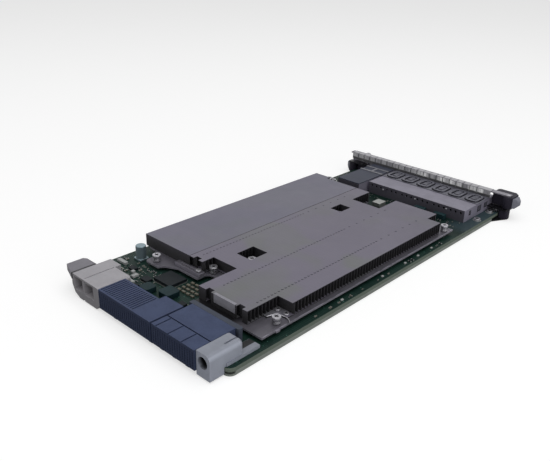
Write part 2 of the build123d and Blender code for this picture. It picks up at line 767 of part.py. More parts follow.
# Main sink fins: folded fins across the width, joined by their floor and flat top
fin_inner_height = fin_height - 2 * fin_sheet
screw_arc_radius = 7.0
channel_overrun = 1.05
with BuildPart() as main_sink_fins:
    with BuildSketch(Plane.XY.offset(fin_bottom_z)):
        with BuildLine():
            Polyline(*main_outline, close=True)
        make_face()
        for hole_x, hole_y in (hole_one, hole_two):
            with Locations(((hole_x[0] + hole_x[1]) / 2, (hole_y[0] + hole_y[1]) / 2)):
                Rectangle(hole_x[1] - hole_x[0], hole_y[1] - hole_y[0], mode=Mode.SUBTRACT)
        for notch_x in near_notch_spots:
            with Locations((notch_x, main_near_y)):
                Rectangle(2 * edge_notch_half, 2 * edge_notch_depth, mode=Mode.SUBTRACT)
        with Locations((seam_notch_x, sink_near_y)):
            Rectangle(2 * edge_notch_half, 2 * edge_notch_depth, mode=Mode.SUBTRACT)
    extrude(amount=fin_height)
    main_fin_count = int((main_near_y - sink_far_y - fin_sheet) / fin_pitch)
    with Locations(*channel_spots(main_right_x, seam_x, main_near_y, main_fin_count)):
        Box(
            channel_overrun * (seam_x - main_right_x),
            fin_pitch - fin_sheet,
            fin_inner_height,
            mode=Mode.SUBTRACT,
        )
    # Floor flange in the cut corner, with a round bite about the spring screw
    with BuildSketch(Plane.XY.offset(fin_bottom_z)):
        with Locations(((main_right_x + corner_cut_x) / 2, (corner_cut_y + near_screw[1]) / 2)):
            Rectangle(corner_cut_x - main_right_x, near_screw[1] - corner_cut_y)
        with Locations(near_screw):
            Circle(screw_arc_radius, mode=Mode.SUBTRACT)
    extrude(amount=2 * fin_sheet)
main_sink_fins.part.label = "main_sink_fins"
export_step(main_sink_fins.part, "parts/main_sink_fins.step")

# Blank tab folded down over the near end of the fins
tab_left_x = main_right_x + 36.6
tab_right_x = main_right_x + 20.0
label_sheet = 0.3
label_fold = 1.5
label_base_gap = fin_height * 0.36
with BuildPart() as blank_tab:
    add_block(
        (tab_right_x, tab_left_x),
        (main_near_y, main_near_y + label_sheet),
        (fin_bottom_z + label_base_gap, fin_top_z + label_sheet),
    )
    add_block(
        (tab_right_x, tab_left_x),
        (main_near_y - label_fold, main_near_y),
        (fin_top_z, fin_top_z + label_sheet),
    )
blank_tab.part.label = "blank_tab"
export_step(blank_tab.part, "parts/blank_tab.step")

# Left sink base: a lug at each end for a spring screw, and an arm into the main sink's near cut
left_sink_left_x = half_board - 3.4
left_far_left_y = sink_far_y - 3.5
left_far_step_x = left_sink_left_x - 14.0
left_base_left_x = left_sink_left_x - 3.6
lug_half = 6.4
lug_near_y = sink_near_y + 13.6
lug_shoulder_y = sink_near_y + 6.0
lug_slope_x = seam_x + 4.3
lug_slope_width = 2.2
lug_slope_depth = 3.8
lug_step = 1.0
lug_corner = 1.6
far_lug_radius = spring_screw_head + 2.0
bar_gap = 0.3
bar_right_x = seam_x - 13.9
arm_gap = 0.4
arm_right_x = seam_x - 24.3
arm_cut_radius = 4.1
arm_cut_web = 0.6
arm_cut_x = bar_right_x - arm_cut_radius
arm_cut_y = cut_screw[1] + spring_screw_shank + spring_shank_clearance + arm_cut_web + arm_cut_radius
bar_far_y = sink_near_y + bar_gap
lug_left_x = left_near_screw[0] + lug_half
lug_right_x = left_near_screw[0] - lug_half
with BuildPart() as left_sink_base:
    with BuildSketch(Plane.XY.offset(sink_base_z)):
        with BuildLine():
            Polyline(
                (seam_x, sink_far_y),
                (left_base_left_x, sink_far_y),
                (left_base_left_x, sink_near_y),
                (lug_left_x, sink_near_y + lug_step),
                (lug_left_x, lug_near_y - lug_corner),
                (lug_left_x - lug_corner, lug_near_y),
                (lug_right_x, lug_near_y),
                (lug_right_x - lug_slope_width, lug_near_y - lug_slope_depth),
                (lug_slope_x, lug_shoulder_y),
                (bar_right_x, lug_shoulder_y),
                (arm_right_x, lug_shoulder_y - arm_cut_radius),
                (arm_right_x, near_cut_far_y + arm_gap),
                (near_cut_left_x - arm_gap, near_cut_far_y + arm_gap),
                (near_cut_left_x - arm_gap, bar_far_y),
                (seam_x, bar_far_y),
                close=True,
            )
        make_face()
        # U-shaped cut, open towards the backplane connectors
        with Locations((arm_cut_x, arm_cut_y)):
            Circle(arm_cut_radius, mode=Mode.SUBTRACT)
        with Locations((arm_cut_x, arm_cut_y + arm_cut_radius)):
            Rectangle(2 * arm_cut_radius, 2 * arm_cut_radius, mode=Mode.SUBTRACT)
        with Locations(left_far_screw):
            Circle(far_lug_radius)
        with Locations((left_far_screw[0], (left_far_screw[1] + sink_far_y) / 2)):
            Rectangle(2 * far_lug_radius, sink_far_y - left_far_screw[1])
        with Locations(left_near_screw, left_far_screw, cut_screw):
            Circle(spring_screw_shank + spring_shank_clearance, mode=Mode.SUBTRACT)
    extrude(amount=sink_base_sheet)
left_sink_base.part.label = "left_sink_base"
export_step(left_sink_base.part, "parts/left_sink_base.step")

with BuildPart() as left_sink_fins:
    with BuildSketch(Plane.XY.offset(fin_bottom_z)):
        with BuildLine():
            Polyline(
                (seam_x, sink_far_y),
                (seam_x, sink_near_y),
                (left_sink_left_x, sink_near_y),
                (left_sink_left_x, left_far_left_y),
                (left_far_step_x, left_far_left_y),
                (left_far_step_x, sink_far_y),
                close=True,
            )
        make_face()
    extrude(amount=fin_height)
    left_fin_count = int((sink_near_y - left_far_left_y - fin_sheet) / fin_pitch)
    with Locations(*channel_spots(seam_x, left_sink_left_x, sink_near_y, left_fin_count)):
        Box(
            channel_overrun * (left_sink_left_x - seam_x),
            fin_pitch - fin_sheet,
            fin_inner_height,
            mode=Mode.SUBTRACT,
        )
left_sink_fins.part.label = "left_sink_fins"
export_step(left_sink_fins.part, "parts/left_sink_fins.step")

# Bar across the near end of the left sink's base: a raised rib with a long slot
bar_height = 2.1
bar_left_x = seam_x + 9.3
bar_depth = 4.0
bar_slot_inset = 6.0
bar_slot_wall = 1.4
bar_near_y = bar_far_y + bar_depth
bar_slot_width = 1.0
with BuildPart() as sink_bar:
    add_block((bar_right_x, bar_left_x), (bar_far_y, bar_near_y), (fin_bottom_z, fin_bottom_z + bar_height))
    add_block(
        (bar_right_x + bar_slot_inset, bar_left_x - bar_slot_inset / 2),
        (bar_near_y - bar_slot_wall - bar_slot_width, bar_near_y - bar_slot_wall),
        (fin_bottom_z + bar_height / 2, fin_bottom_z + bar_height + 1),
        Mode.SUBTRACT,
    )
sink_bar.part.label = "sink_bar"
export_step(sink_bar.part, "parts/sink_bar.step")

# Spring screws of the sinks, and a plain sleeve for each coil spring
spring_seat_z = fin_bottom_z
spring_top_z = spring_seat_z + spring_length
with BuildPart() as spring_screws:
    with BuildSketch(Plane.XY):
        with Locations(*spring_screw_spots):
            Circle(spring_screw_shank)
    extrude(amount=spring_top_z)
    with BuildSketch(Plane.XY.offset(spring_top_z)):
        with Locations(*spring_screw_spots):
            Circle(spring_screw_head)
    extrude(amount=spring_screw_head_height)
    with BuildSketch(Plane.XY.offset(spring_top_z + spring_screw_head_height)):
        with Locations(*spring_screw_spots):
            Rectangle(spring_screw_recess_width, spring_screw_recess_length)
            Rectangle(spring_screw_recess_length, spring_screw_recess_width)
    extrude(amount=-spring_screw_recess_depth, mode=Mode.SUBTRACT)
spring_screws.part.label = "spring_screws"
export_step(spring_screws.part, "parts/spring_screws.step")

with BuildPart() as screw_springs:
    with BuildSketch(Plane.XY.offset(spring_seat_z)):
        with Locations(*spring_screw_spots):
            Circle(spring_outer_radius)
            Circle(spring_outer_radius - spring_wire, mode=Mode.SUBTRACT)
    extrude(amount=spring_length)
screw_springs.part.label = "screw_springs"
export_step(screw_springs.part, "parts/screw_springs.step")

# Board screws
with BuildPart() as board_screws:
    with BuildSketch(Plane.XY.offset(screw_tip_z)):
        with Locations(*all_board_screws):
            Circle(board_screw_shank)
    extrude(amount=board_top_z - screw_tip_z)
    with BuildSketch(Plane.XY.offset(board_top_z)):
        with Locations(*all_board_screws):
            Circle(board_screw_head)
    extrude(amount=board_screw_head_height)
    with BuildSketch(Plane.XY.offset(board_top_z + board_screw_head_height)):
        with Locations(*all_board_screws):
            Rectangle(board_screw_recess_width, board_screw_recess_length)
            Rectangle(board_screw_recess_length, board_screw_recess_width)
    extrude(amount=-board_screw_recess_depth, mode=Mode.SUBTRACT)
board_screws.part.label = "board_screws"
export_step(board_screws.part, "parts/board_screws.step")

# Small screws: one in the bar, two in the flange beside the near spring screw
small_head_radius = 1.7
small_head_height = 1.2
bar_screw_x = bar_right_x + 3.0
flange_screw_y = corner_cut_y + 2.2
base_screw_spots = [(corner_cut_x - 2.2, flange_screw_y), (main_right_x + 2.4, flange_screw_y)]
with BuildPart() as small_screws:
    with BuildSketch(Plane.XY.offset(fin_bottom_z + bar_height)):
        with Locations((bar_screw_x, bar_near_y - bar_depth / 2)):
            Circle(small_head_radius)
    extrude(amount=small_head_height)
    with BuildSketch(Plane.XY.offset(fin_bottom_z + 2 * fin_sheet)):
        with Locations(*base_screw_spots):
            Circle(small_head_radius)
    extrude(amount=small_head_height)
small_screws.part.label = "small_screws"
export_step(small_screws.part, "parts/small_screws.step")

# Processor packages under the sinks, with a soft pad between each and the base above it
package_height = 1.6
main_package_x = main_right_x + 28.9
left_package_x = half_board - 26.0
main_package_size = 30.0
middle_package_size = 34.0
left_package_size = 27.0
package_spots = [
    (main_package_x, sink_far_y + 0.82 * sink_length, main_package_size),
    (main_package_x, sink_far_y + 0.53 * sink_length, middle_package_size),
    (main_package_x, sink_far_y + 0.22 * sink_length, main_package_size),
    (left_package_x, sink_far_y + 0.72 * sink_length, left_package_size),
    (left_package_x, sink_far_y + 0.32 * sink_length, left_package_size),
]
with BuildPart() as processor_packages:
    for x, y, size in package_spots:
        with Locations((x, y, board_top_z + package_height / 2)):
            Box(size, size, package_height)
processor_packages.part.label = "processor_packages"
export_step(processor_packages.part, "parts/processor_packages.step")

pad_margin = 3.0
with BuildPart() as thermal_pads:
    for x, y, size in package_spots:
        with Locations((x, y, (board_top_z + package_height + sink_base_z) / 2)):
            Box(size - 2 * pad_margin, size - 2 * pad_margin, sink_board_gap - package_height)
thermal_pads.part.label = "thermal_pads"
export_step(thermal_pads.part, "parts/thermal_pads.step")

# Memory chips beside the processors
memory_height = 1.1
memory_width = 9.0
memory_length = 11.0
memory_screw_space = 12.5
memory_xs = [seam_x - 27.1, seam_x - 13.1]
memory_near_y = hole_one_screw[1] - memory_screw_space
memory_step = (memory_near_y - hole_two_screw[1] - memory_screw_space) / 3
memory_ys = [hole_one_screw[1] + memory_screw_space] + [memory_near_y - n * memory_step for n in range(4)]
with BuildPart() as memory_chips:
    with Locations(*[(x, y, board_top_z + memory_height / 2) for y in memory_ys for x in memory_xs]):
        Box(memory_width, memory_length, memory_height)
memory_chips.part.label = "memory_chips"
export_step(memory_chips.part, "parts/memory_chips.step")

# Parts on the open board between the sinks and the backplane connectors
large_chip_height = 2.0
large_chip_width = 15.0
large_chip_length = 13.0
large_chip_spot = (seam_x - 0.5, sink_near_y + 15.6)
with BuildPart() as interface_chip:
    with Locations((*large_chip_spot, board_top_z + large_chip_height / 2)):
        Box(large_chip_width, large_chip_length, large_chip_height)
interface_chip.part.label = "interface_chip"
export_step(interface_chip.part, "parts/interface_chip.step")

inductor_height = 3.4
inductor_chamfer = 1.2
inductor_spots = [(seam_x - 0.7, board_rear_y - 18.2, 8.0), (seam_x - 13.5, board_rear_y - 23.6, 9.6)]
with BuildPart() as power_inductors:
    for x, y, size in inductor_spots:
        with Locations((x, y, board_top_z + inductor_height / 2)):
            Box(size, size, inductor_height)
    chamfer(power_inductors.edges().filter_by(Axis.Z), inductor_chamfer)
power_inductors.part.label = "power_inductors"
export_step(power_inductors.part, "parts/power_inductors.step")

capacitor_radius = 3.3
capacitor_height = 9.8
capacitor_foot_height = 1.2
capacitor_foot_margin = 0.3
capacitor_foot_corner = 1.0
capacitor_round = 0.7
capacitor_spot = (half_board - 12.0, sink_near_y + 10.6)
capacitor_foot = 2 * (capacitor_radius + capacitor_foot_margin)
with BuildPart() as bulk_capacitor:
    with BuildSketch(Plane.XY.offset(board_top_z)):
        with Locations(capacitor_spot):
            RectangleRounded(capacitor_foot, capacitor_foot, capacitor_foot_corner)
    extrude(amount=capacitor_foot_height)
    with BuildSketch(Plane.XY.offset(board_top_z + capacitor_foot_height)):
        with Locations(capacitor_spot):
            Circle(capacitor_radius)
    extrude(amount=capacitor_height - capacitor_foot_height)
    can_top_edge = bulk_capacitor.edges().filter_by(GeomType.CIRCLE).group_by(Axis.Z)[-1]
    fillet(can_top_edge, capacitor_round)
bulk_capacitor.part.label = "bulk_capacitor"
export_step(bulk_capacitor.part, "parts/bulk_capacitor.step")

chip_size = (2.6, 1.5, 1.1)
chip_pitch = (3.8, 3.4)
chip_grid_spot = (seam_x - 18.5, sink_near_y + 13.6)
with BuildPart() as chip_capacitors:
    with Locations((*chip_grid_spot, board_top_z + chip_size[2] / 2)):
        with GridLocations(*chip_pitch, 4, 4):
            Box(*chip_size)
chip_capacitors.part.label = "chip_capacitors"
export_step(chip_capacitors.part, "parts/chip_capacitors.step")

white_part_height = 1.6
white_part_spots = [
    (half_board - 28.6, board_rear_y - 22.8, 2.6, 4.2),
    (half_board - 33.0, board_rear_y - 17.2, 4.4, 2.2),
    (half_board - 23.8, board_rear_y - 25.0, 2.2, 2.2),
    (half_board - 8.0, board_rear_y - 28.4, 8.4, 2.6),
]
with BuildPart() as white_parts:
    for x, y, width, depth in white_part_spots:
        with Locations((x, y, board_top_z + white_part_height / 2)):
            Box(width, depth, white_part_height)
white_parts.part.label = "white_parts"
export_step(white_parts.part, "parts/white_parts.step")

control_height = 1.4
control_spots = [
    (half_board - 37.0, board_rear_y - 25.2, 6.0, 5.0),
    (half_board - 20.0, board_rear_y - 27.8, 5.0, 4.0),
    (half_board - 38.6, board_rear_y - 14.8, 3.6, 5.6),
    (seam_x - 27.1, board_rear_y - 22.2, 4.6, 3.4),
    (seam_x - 35.1, board_rear_y - 23.4, 3.4, 3.4),
]
with BuildPart() as control_chips:
    for x, y, width, depth in control_spots:
        with Locations((x, y, board_top_z + control_height / 2)):
            Box(width, depth, control_height)
control_chips.part.label = "control_chips"
export_step(control_chips.part, "parts/control_chips.step")

# Metal-topped clock in the far notch, and low filter modules behind the cage
clock_height = 3.6
clock_width = 7.2
clock_length = 8.6
clock_corner = 0.8
clock_spot = (seam_x - 17.7, sink_far_y - 6.4)
with BuildPart() as clock_module:
    with Locations((*clock_spot, board_top_z + clock_height / 2)):
        Box(clock_width, clock_length, clock_height)
    fillet(clock_module.edges().filter_by(Axis.Z), clock_corner)
clock_module.part.label = "clock_module"
export_step(clock_module.part, "parts/clock_module.step")

filter_height = 3.8
filter_width = 9.0
filter_length = 4.0
filter_xs = [cage_right_x + 34.1, cage_right_x + 17.1]
filter_y = cage_rear_y + 5.0
with BuildPart() as filter_modules:
    with Locations(*[(x, filter_y, board_top_z + filter_height / 2) for x in filter_xs]):
        Box(filter_width, filter_length, filter_height)
filter_modules.part.label = "filter_modules"
export_step(filter_modules.part, "parts/filter_modules.step")

edge_chip_size = (1.2, 1.8, 0.8)
edge_chip_x = main_base_right_x - 2.0
edge_chip_ys = [sink_far_y + share * sink_length for share in (0.76, 0.52, 0.37, 0.28, 0.18)]
with BuildPart() as edge_chips:
    with Locations(*[(edge_chip_x, y, board_top_z + edge_chip_size[2] / 2) for y in edge_chip_ys]):
        Box(*edge_chip_size)
edge_chips.part.label = "edge_chips"
export_step(edge_chips.part, "parts/edge_chips.step")

# Backplane connectors stand on the board and step down past its rear edge
edge_gap = 0.2
overhang_far_y = board_rear_y + edge_gap
signal_base_z = 2.8
foot_bump_height = 1.4
foot_bump_width = 2.6
foot_bump_length = 6.0
foot_bump_inset = 1.0


def add_stepped_block(x_pair, far_y, near_y, base_z):
    """A connector body: over the board from far_y, and down past the board's rear edge."""
    add_block(x_pair, (far_y, near_y), (board_top_z, connector_top_z))
    add_block(x_pair, (overhang_far_y, near_y), (base_z, board_top_z))


def add_foot_bumps(xs):
    """Short feet under a connector, on its overhanging part."""
    for x in xs:
        add_block(
            (x - foot_bump_width / 2, x + foot_bump_width / 2),
            (connector_front_y - foot_bump_inset - foot_bump_length, connector_front_y - foot_bump_inset),
            (signal_base_z - foot_bump_height, signal_base_z),
        )


def groove_xs(low_x, high_x):
    """Middles of the grooves that share out a width at the wafer pitch."""
    count = int((high_x - low_x) / wafer_pitch)
    first_x = (low_x + high_x) / 2 - (count - 1) * wafer_pitch / 2
    return [first_x + n * wafer_pitch for n in range(count)]


# Wafer connector: ribbed over its left part, plain and reaching further back over its right part
wafer_pitch = 1.9
wafer_groove = 0.7
wafer_depth = 0.7
wafer_front_land = 2.4
wafer_right_x = signal_left_x - 31.2
wafer_far_y = board_rear_y - 7.4
plain_far_y = board_rear_y - 11.6
wafer_foot_xs = [signal_left_x - 13.2, signal_split_x + 1.6]
face_slot_height = 9.0
face_slot_depth = 0.4
face_mid_z = (connector_top_z + signal_base_z) / 2
with BuildPart() as wafer_connector:
    add_stepped_block((wafer_right_x, signal_left_x), wafer_far_y, connector_front_y, signal_base_z)
    add_stepped_block((signal_split_x, wafer_right_x), plain_far_y, connector_front_y, signal_base_z)
    add_foot_bumps(wafer_foot_xs)
    wafer_xs = groove_xs(wafer_right_x, signal_left_x)
    wafer_length = connector_front_y - wafer_far_y - wafer_front_land
    with Locations(*[(x, (connector_front_y + wafer_far_y) / 2, connector_top_z) for x in wafer_xs]):
        Box(wafer_groove, wafer_length, 2 * wafer_depth, mode=Mode.SUBTRACT)
    face_xs = groove_xs(signal_split_x, signal_left_x)
    with Locations(*[(x, connector_front_y, face_mid_z) for x in face_xs]):
        Box(wafer_groove, 2 * face_slot_depth, face_slot_height, mode=Mode.SUBTRACT)
wafer_connector.part.label = "wafer_connector"
export_step(wafer_connector.part, "parts/wafer_connector.step")

# Module connector: three tiles in front of a cross groove
split_gap = 1.2
rail_thickness = 3.4
module_far_y = board_rear_y - 16.8
module_groove = 0.7
module_xs = [signal_right_x + 29.8, signal_right_x + 19.9, signal_right_x + 9.9]
module_foot_step = 3.0
module_left_x = signal_split_x - split_gap
with BuildPart() as module_connector:
    add_stepped_block((signal_right_x, module_left_x), module_far_y, connector_front_y, signal_base_z)
    add_foot_bumps([x - module_foot_step for x in module_xs])
    add_block(
        (signal_right_x - 1, module_left_x + 1),
        (board_rear_y - module_groove / 2, board_rear_y + module_groove / 2),
        (connector_top_z - module_groove, connector_top_z + 1),
        Mode.SUBTRACT,
    )
    with Locations(*[(x, (board_rear_y + connector_front_y) / 2, connector_top_z) for x in module_xs]):
        Box(module_groove, connector_overhang, 2 * module_groove, mode=Mode.SUBTRACT)
    with Locations(*[(x, connector_front_y, face_mid_z) for x in groove_xs(signal_right_x, module_left_x)]):
        Box(wafer_groove, 2 * face_slot_depth, face_slot_height, mode=Mode.SUBTRACT)
module_connector.part.label = "module_connector"
export_step(module_connector.part, "parts/module_connector.step")

rail_left_x = signal_split_x + 1.6
rail_end_flat = 0.1
with BuildPart() as connector_rail:
    add_block(
        (rail_right_x, rail_left_x),
        (module_far_y - rail_thickness, module_far_y),
        (board_top_z, connector_top_z),
    )
    rail_end_edges = connector_rail.edges().filter_by(Axis.Z).group_by(Axis.X)[0]
    fillet(rail_end_edges, rail_thickness / 2 - rail_end_flat)
connector_rail.part.label = "connector_rail"
export_step(connector_rail.part, "parts/connector_rail.step")

# Power connector: two sockets in front with rounded bottoms, the left half reaching further back
power_split_x = power_left_x - 10.5
power_front_left_x = power_left_x + 1.1
power_far_right_y = board_rear_y - 11.2
power_far_left_y = board_rear_y - 15.4
power_base_z = 0.6
power_right_round = 3.0
power_left_round = 7.0
power_notch = 0.8
power_top_round = 1.8
power_groove_land = 1.5
socket_height = 8.2
socket_floor_z = 5.3
socket_depth = 12.5
socket_wall = 1.5
socket_widths = (8.4, 9.2)
socket_one = (power_split_x + 0.6, power_split_x + 0.6 + socket_widths[0])
socket_two = (socket_one[0] - socket_wall - socket_widths[1], socket_one[0] - socket_wall)
power_groove = 0.6
with BuildPart() as power_connector:
    power_z = (board_top_z, connector_top_z)
    add_block((power_right_x, power_split_x), (power_far_right_y, connector_front_y), power_z)
    add_block((power_split_x, power_left_x), (power_far_left_y, connector_front_y), power_z)
    with BuildSketch(Plane(origin=(0, overhang_far_y, 0), x_dir=(-1, 0, 0), z_dir=(0, 1, 0))):
        with BuildLine():
            Polyline(
                (-power_right_x, connector_top_z),
                (-power_right_x, power_base_z + power_right_round),
                (-power_right_x - power_right_round, power_base_z),
                (-power_split_x + power_notch, power_base_z),
                (-power_split_x, power_base_z + 2 * power_notch),
                (-power_split_x - power_notch, power_base_z),
                (-power_front_left_x + power_left_round, power_base_z),
                (-power_front_left_x + power_left_round / 3, power_base_z + power_left_round / 3),
                (-power_front_left_x, power_base_z + power_left_round),
                (-power_front_left_x, end_block_base_z - end_block_gap),
                (-power_left_x, end_block_base_z - end_block_gap),
                (-power_left_x, connector_top_z),
                close=True,
            )
        make_face()
    extrude(amount=connector_front_y - overhang_far_y)
    for socket in (socket_one, socket_two):
        add_block(
            socket,
            (connector_front_y - socket_depth, connector_front_y + 1),
            (socket_floor_z, socket_floor_z + socket_height),
            Mode.SUBTRACT,
        )
    add_block(
        (power_split_x - power_groove / 2, power_split_x + power_groove / 2),
        (power_far_right_y + power_groove, connector_front_y - power_groove_land),
        (connector_top_z - power_groove, connector_top_z + 1),
        Mode.SUBTRACT,
    )
    far_top_edges = power_connector.edges().filter_by(Axis.Y).group_by(Axis.Z)[-1]
    fillet(far_top_edges.group_by(Axis.X)[0], power_top_round)
power_connector.part.label = "power_connector"
export_step(power_connector.part, "parts/power_connector.step")

blade_sheet = 1.0
blade_length = 8.0
blade_margin = 1.0
socket_floor_y = connector_front_y - socket_depth
with BuildPart() as power_contacts:
    for socket in (socket_one, socket_two):
        blade_x = (socket[0] + socket[1]) / 2
        add_block(
            (blade_x - blade_sheet / 2, blade_x + blade_sheet / 2),
            (socket_floor_y, socket_floor_y + blade_length),
            (socket_floor_z + blade_margin, socket_floor_z + socket_height - blade_margin),
        )
power_contacts.part.label = "power_contacts"
export_step(power_contacts.part, "parts/power_contacts.step")

# End block: a cap beside the power connector, with a raked outer corner
end_block_chamfer = 2.4
end_block_rake = (1.6, 3.8, 1.4)
with BuildPart() as end_block:
    with BuildSketch(Plane.XY.offset(end_block_base_z)):
        with BuildLine():
            Polyline(
                (power_left_x + end_block_gap, end_block_far_y),
                (end_block_left_x - end_block_chamfer, end_block_far_y),
                (end_block_left_x, end_block_far_y + end_block_rake[0]),
                (end_block_left_x, connector_front_y - end_block_rake[1]),
                (power_left_x + end_block_rake[2], connector_front_y),
                (power_left_x + end_block_gap, connector_front_y),
                close=True,
            )
        make_face()
    extrude(amount=connector_top_z - end_block_base_z)
    add_block(
        (power_left_x + end_block_gap, end_block_left_x - end_block_chamfer),
        (end_block_far_y, board_rear_y),
        (board_top_z, end_block_base_z),
    )
end_block.part.label = "end_block"
export_step(end_block.part, "parts/end_block.step")

# Guide block: a casting with a bore for the backplane's guide pin, and a foot on the board
guide_left_x = signal_right_x - connector_gap
guide_far_y = board_rear_y - 13.6
guide_near_y = connector_front_y - 1.0
guide_round = 3.2
guide_far_round = 3.0
guide_bore_radius = 3.4
guide_bore_depth = 14.0
guide_bore_z = 9.4
guide_bore_x = (guide_left_x + guide_right_x) / 2 + connector_gap
guide_slot_width = 1.0
guide_slot_length = 9.0
foot_sheet = 1.8
foot_reach = 0.6
foot_far_y = board_rear_y - 23.8
foot_near_y = board_rear_y - 1.0
guide_slot_x = guide_bore_x - 1.2
guide_slot_far_y = guide_far_y + 1.0
guide_slot_depth = 1.4
with BuildPart() as guide_block:
    add_stepped_block((guide_right_x, guide_left_x), guide_far_y, guide_near_y, connector_base_z)
    guide_top_edges = guide_block.edges().group_by(Axis.Z)[-1]
    fillet(guide_top_edges.filter_by(Axis.Y).group_by(Axis.X)[0], guide_round)
    far_top_edge = guide_block.edges().filter_by(Axis.X).group_by(Axis.Y)[0].group_by(Axis.Z)[-1]
    fillet(far_top_edge, guide_far_round)
    add_block(
        (guide_right_x - foot_reach, rail_right_x - connector_gap),
        (foot_far_y, foot_near_y),
        (board_top_z, board_top_z + foot_sheet),
    )
    add_block(
        (guide_slot_x - guide_slot_width / 2, guide_slot_x + guide_slot_width / 2),
        (guide_slot_far_y, guide_slot_far_y + guide_slot_length),
        (connector_top_z - guide_slot_depth, connector_top_z + 1),
        Mode.SUBTRACT,
    )
    with Locations((guide_bore_x, guide_near_y - guide_bore_depth / 2, guide_bore_z)):
        Cylinder(guide_bore_radius, guide_bore_depth, rotation=(90, 0, 0), mode=Mode.SUBTRACT)
guide_block.part.label = "guide_block"
export_step(guide_block.part, "parts/guide_block.step")
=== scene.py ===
"""Looks of a plug-in baseband processing board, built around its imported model.

The file is in four parts: shader maths, finishes, a mesh maker, and one class for each
sub-assembly of the board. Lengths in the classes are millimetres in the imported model's frame,
unless they say metres, with X along the front panel, -Y towards the panel, +Y towards the
backplane connectors and Z up. The mesh maker turns them into metres.
"""
import logging
import math
import random
from dataclasses import dataclass
from enum import Enum
from typing import Any, Iterable, Optional, Sequence, Union

import bmesh
import bpy
from mathutils import Matrix, Vector

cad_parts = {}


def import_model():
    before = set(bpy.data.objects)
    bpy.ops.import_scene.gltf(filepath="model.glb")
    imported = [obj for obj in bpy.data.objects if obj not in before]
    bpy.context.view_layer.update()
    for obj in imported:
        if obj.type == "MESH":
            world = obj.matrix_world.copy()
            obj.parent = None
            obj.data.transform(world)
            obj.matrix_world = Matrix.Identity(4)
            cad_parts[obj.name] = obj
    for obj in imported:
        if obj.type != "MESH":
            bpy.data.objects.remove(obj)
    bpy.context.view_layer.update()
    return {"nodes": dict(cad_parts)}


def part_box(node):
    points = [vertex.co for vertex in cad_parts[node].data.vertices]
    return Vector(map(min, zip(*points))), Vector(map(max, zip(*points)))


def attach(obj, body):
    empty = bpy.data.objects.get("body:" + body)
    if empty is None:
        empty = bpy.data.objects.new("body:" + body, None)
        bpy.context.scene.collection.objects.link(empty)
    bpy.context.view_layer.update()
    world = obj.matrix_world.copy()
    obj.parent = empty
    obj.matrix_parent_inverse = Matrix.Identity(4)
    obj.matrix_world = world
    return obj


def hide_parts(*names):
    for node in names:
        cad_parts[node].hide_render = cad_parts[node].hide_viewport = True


LOG = logging.getLogger("processing_board")
MM = 0.001
SHARP_ANGLE = math.radians(32)
FLAT_ANGLE = math.radians(1.0)
WELD_DISTANCE = 0.001 * MM
FULL_TURN = 2 * math.pi
Colour = tuple[float, float, float]
Point = tuple[float, float, float]
Spot = tuple[float, float]
Span = tuple[float, float]
Number = Union[int, float]

# How far an added form reaches into what carries it, and how far a dark mark stands out, in millimetres
SUNK = 0.05
PROUD = 0.02
ROUND_SIDES = 28
RECESS_WIDTH = 0.22
RECESS_TURN = 20
FAR_AWAY = 1e9
TINY = 1e-6
FULL_CIRCLE = 360

SCREEN_FULL = 255
SCREEN_KNEE = 0.04045
SCREEN_SLOPE = 12.92
SCREEN_OFFSET = 0.055
SCREEN_POWER = 2.4


def linear(value: float) -> float:
    """Turn one channel of a screen colour, from 0 to 255, into a linear one.

    Args:
        value: The channel from 0 to 255.

    Returns:
        The channel from 0 to 1.
    """
    share = value / SCREEN_FULL
    if share <= SCREEN_KNEE:
        return share / SCREEN_SLOPE
    return ((share + SCREEN_OFFSET) / (1 + SCREEN_OFFSET)) ** SCREEN_POWER


def tone(red: float, green: float, blue: float) -> Colour:
    """Turn a screen colour, each channel from 0 to 255, into the linear one that shaders take."""
    return linear(red), linear(green), linear(blue)


def shade_of(colour: Colour, factor: float) -> Colour:
    """Return the colour made lighter or darker by a factor, kept within the range."""
    return tuple(min(1.0, channel * factor) for channel in colour)


class Axis(Enum):
    """The three directions of the model's frame."""

    X = 0
    Y = 1
    Z = 2


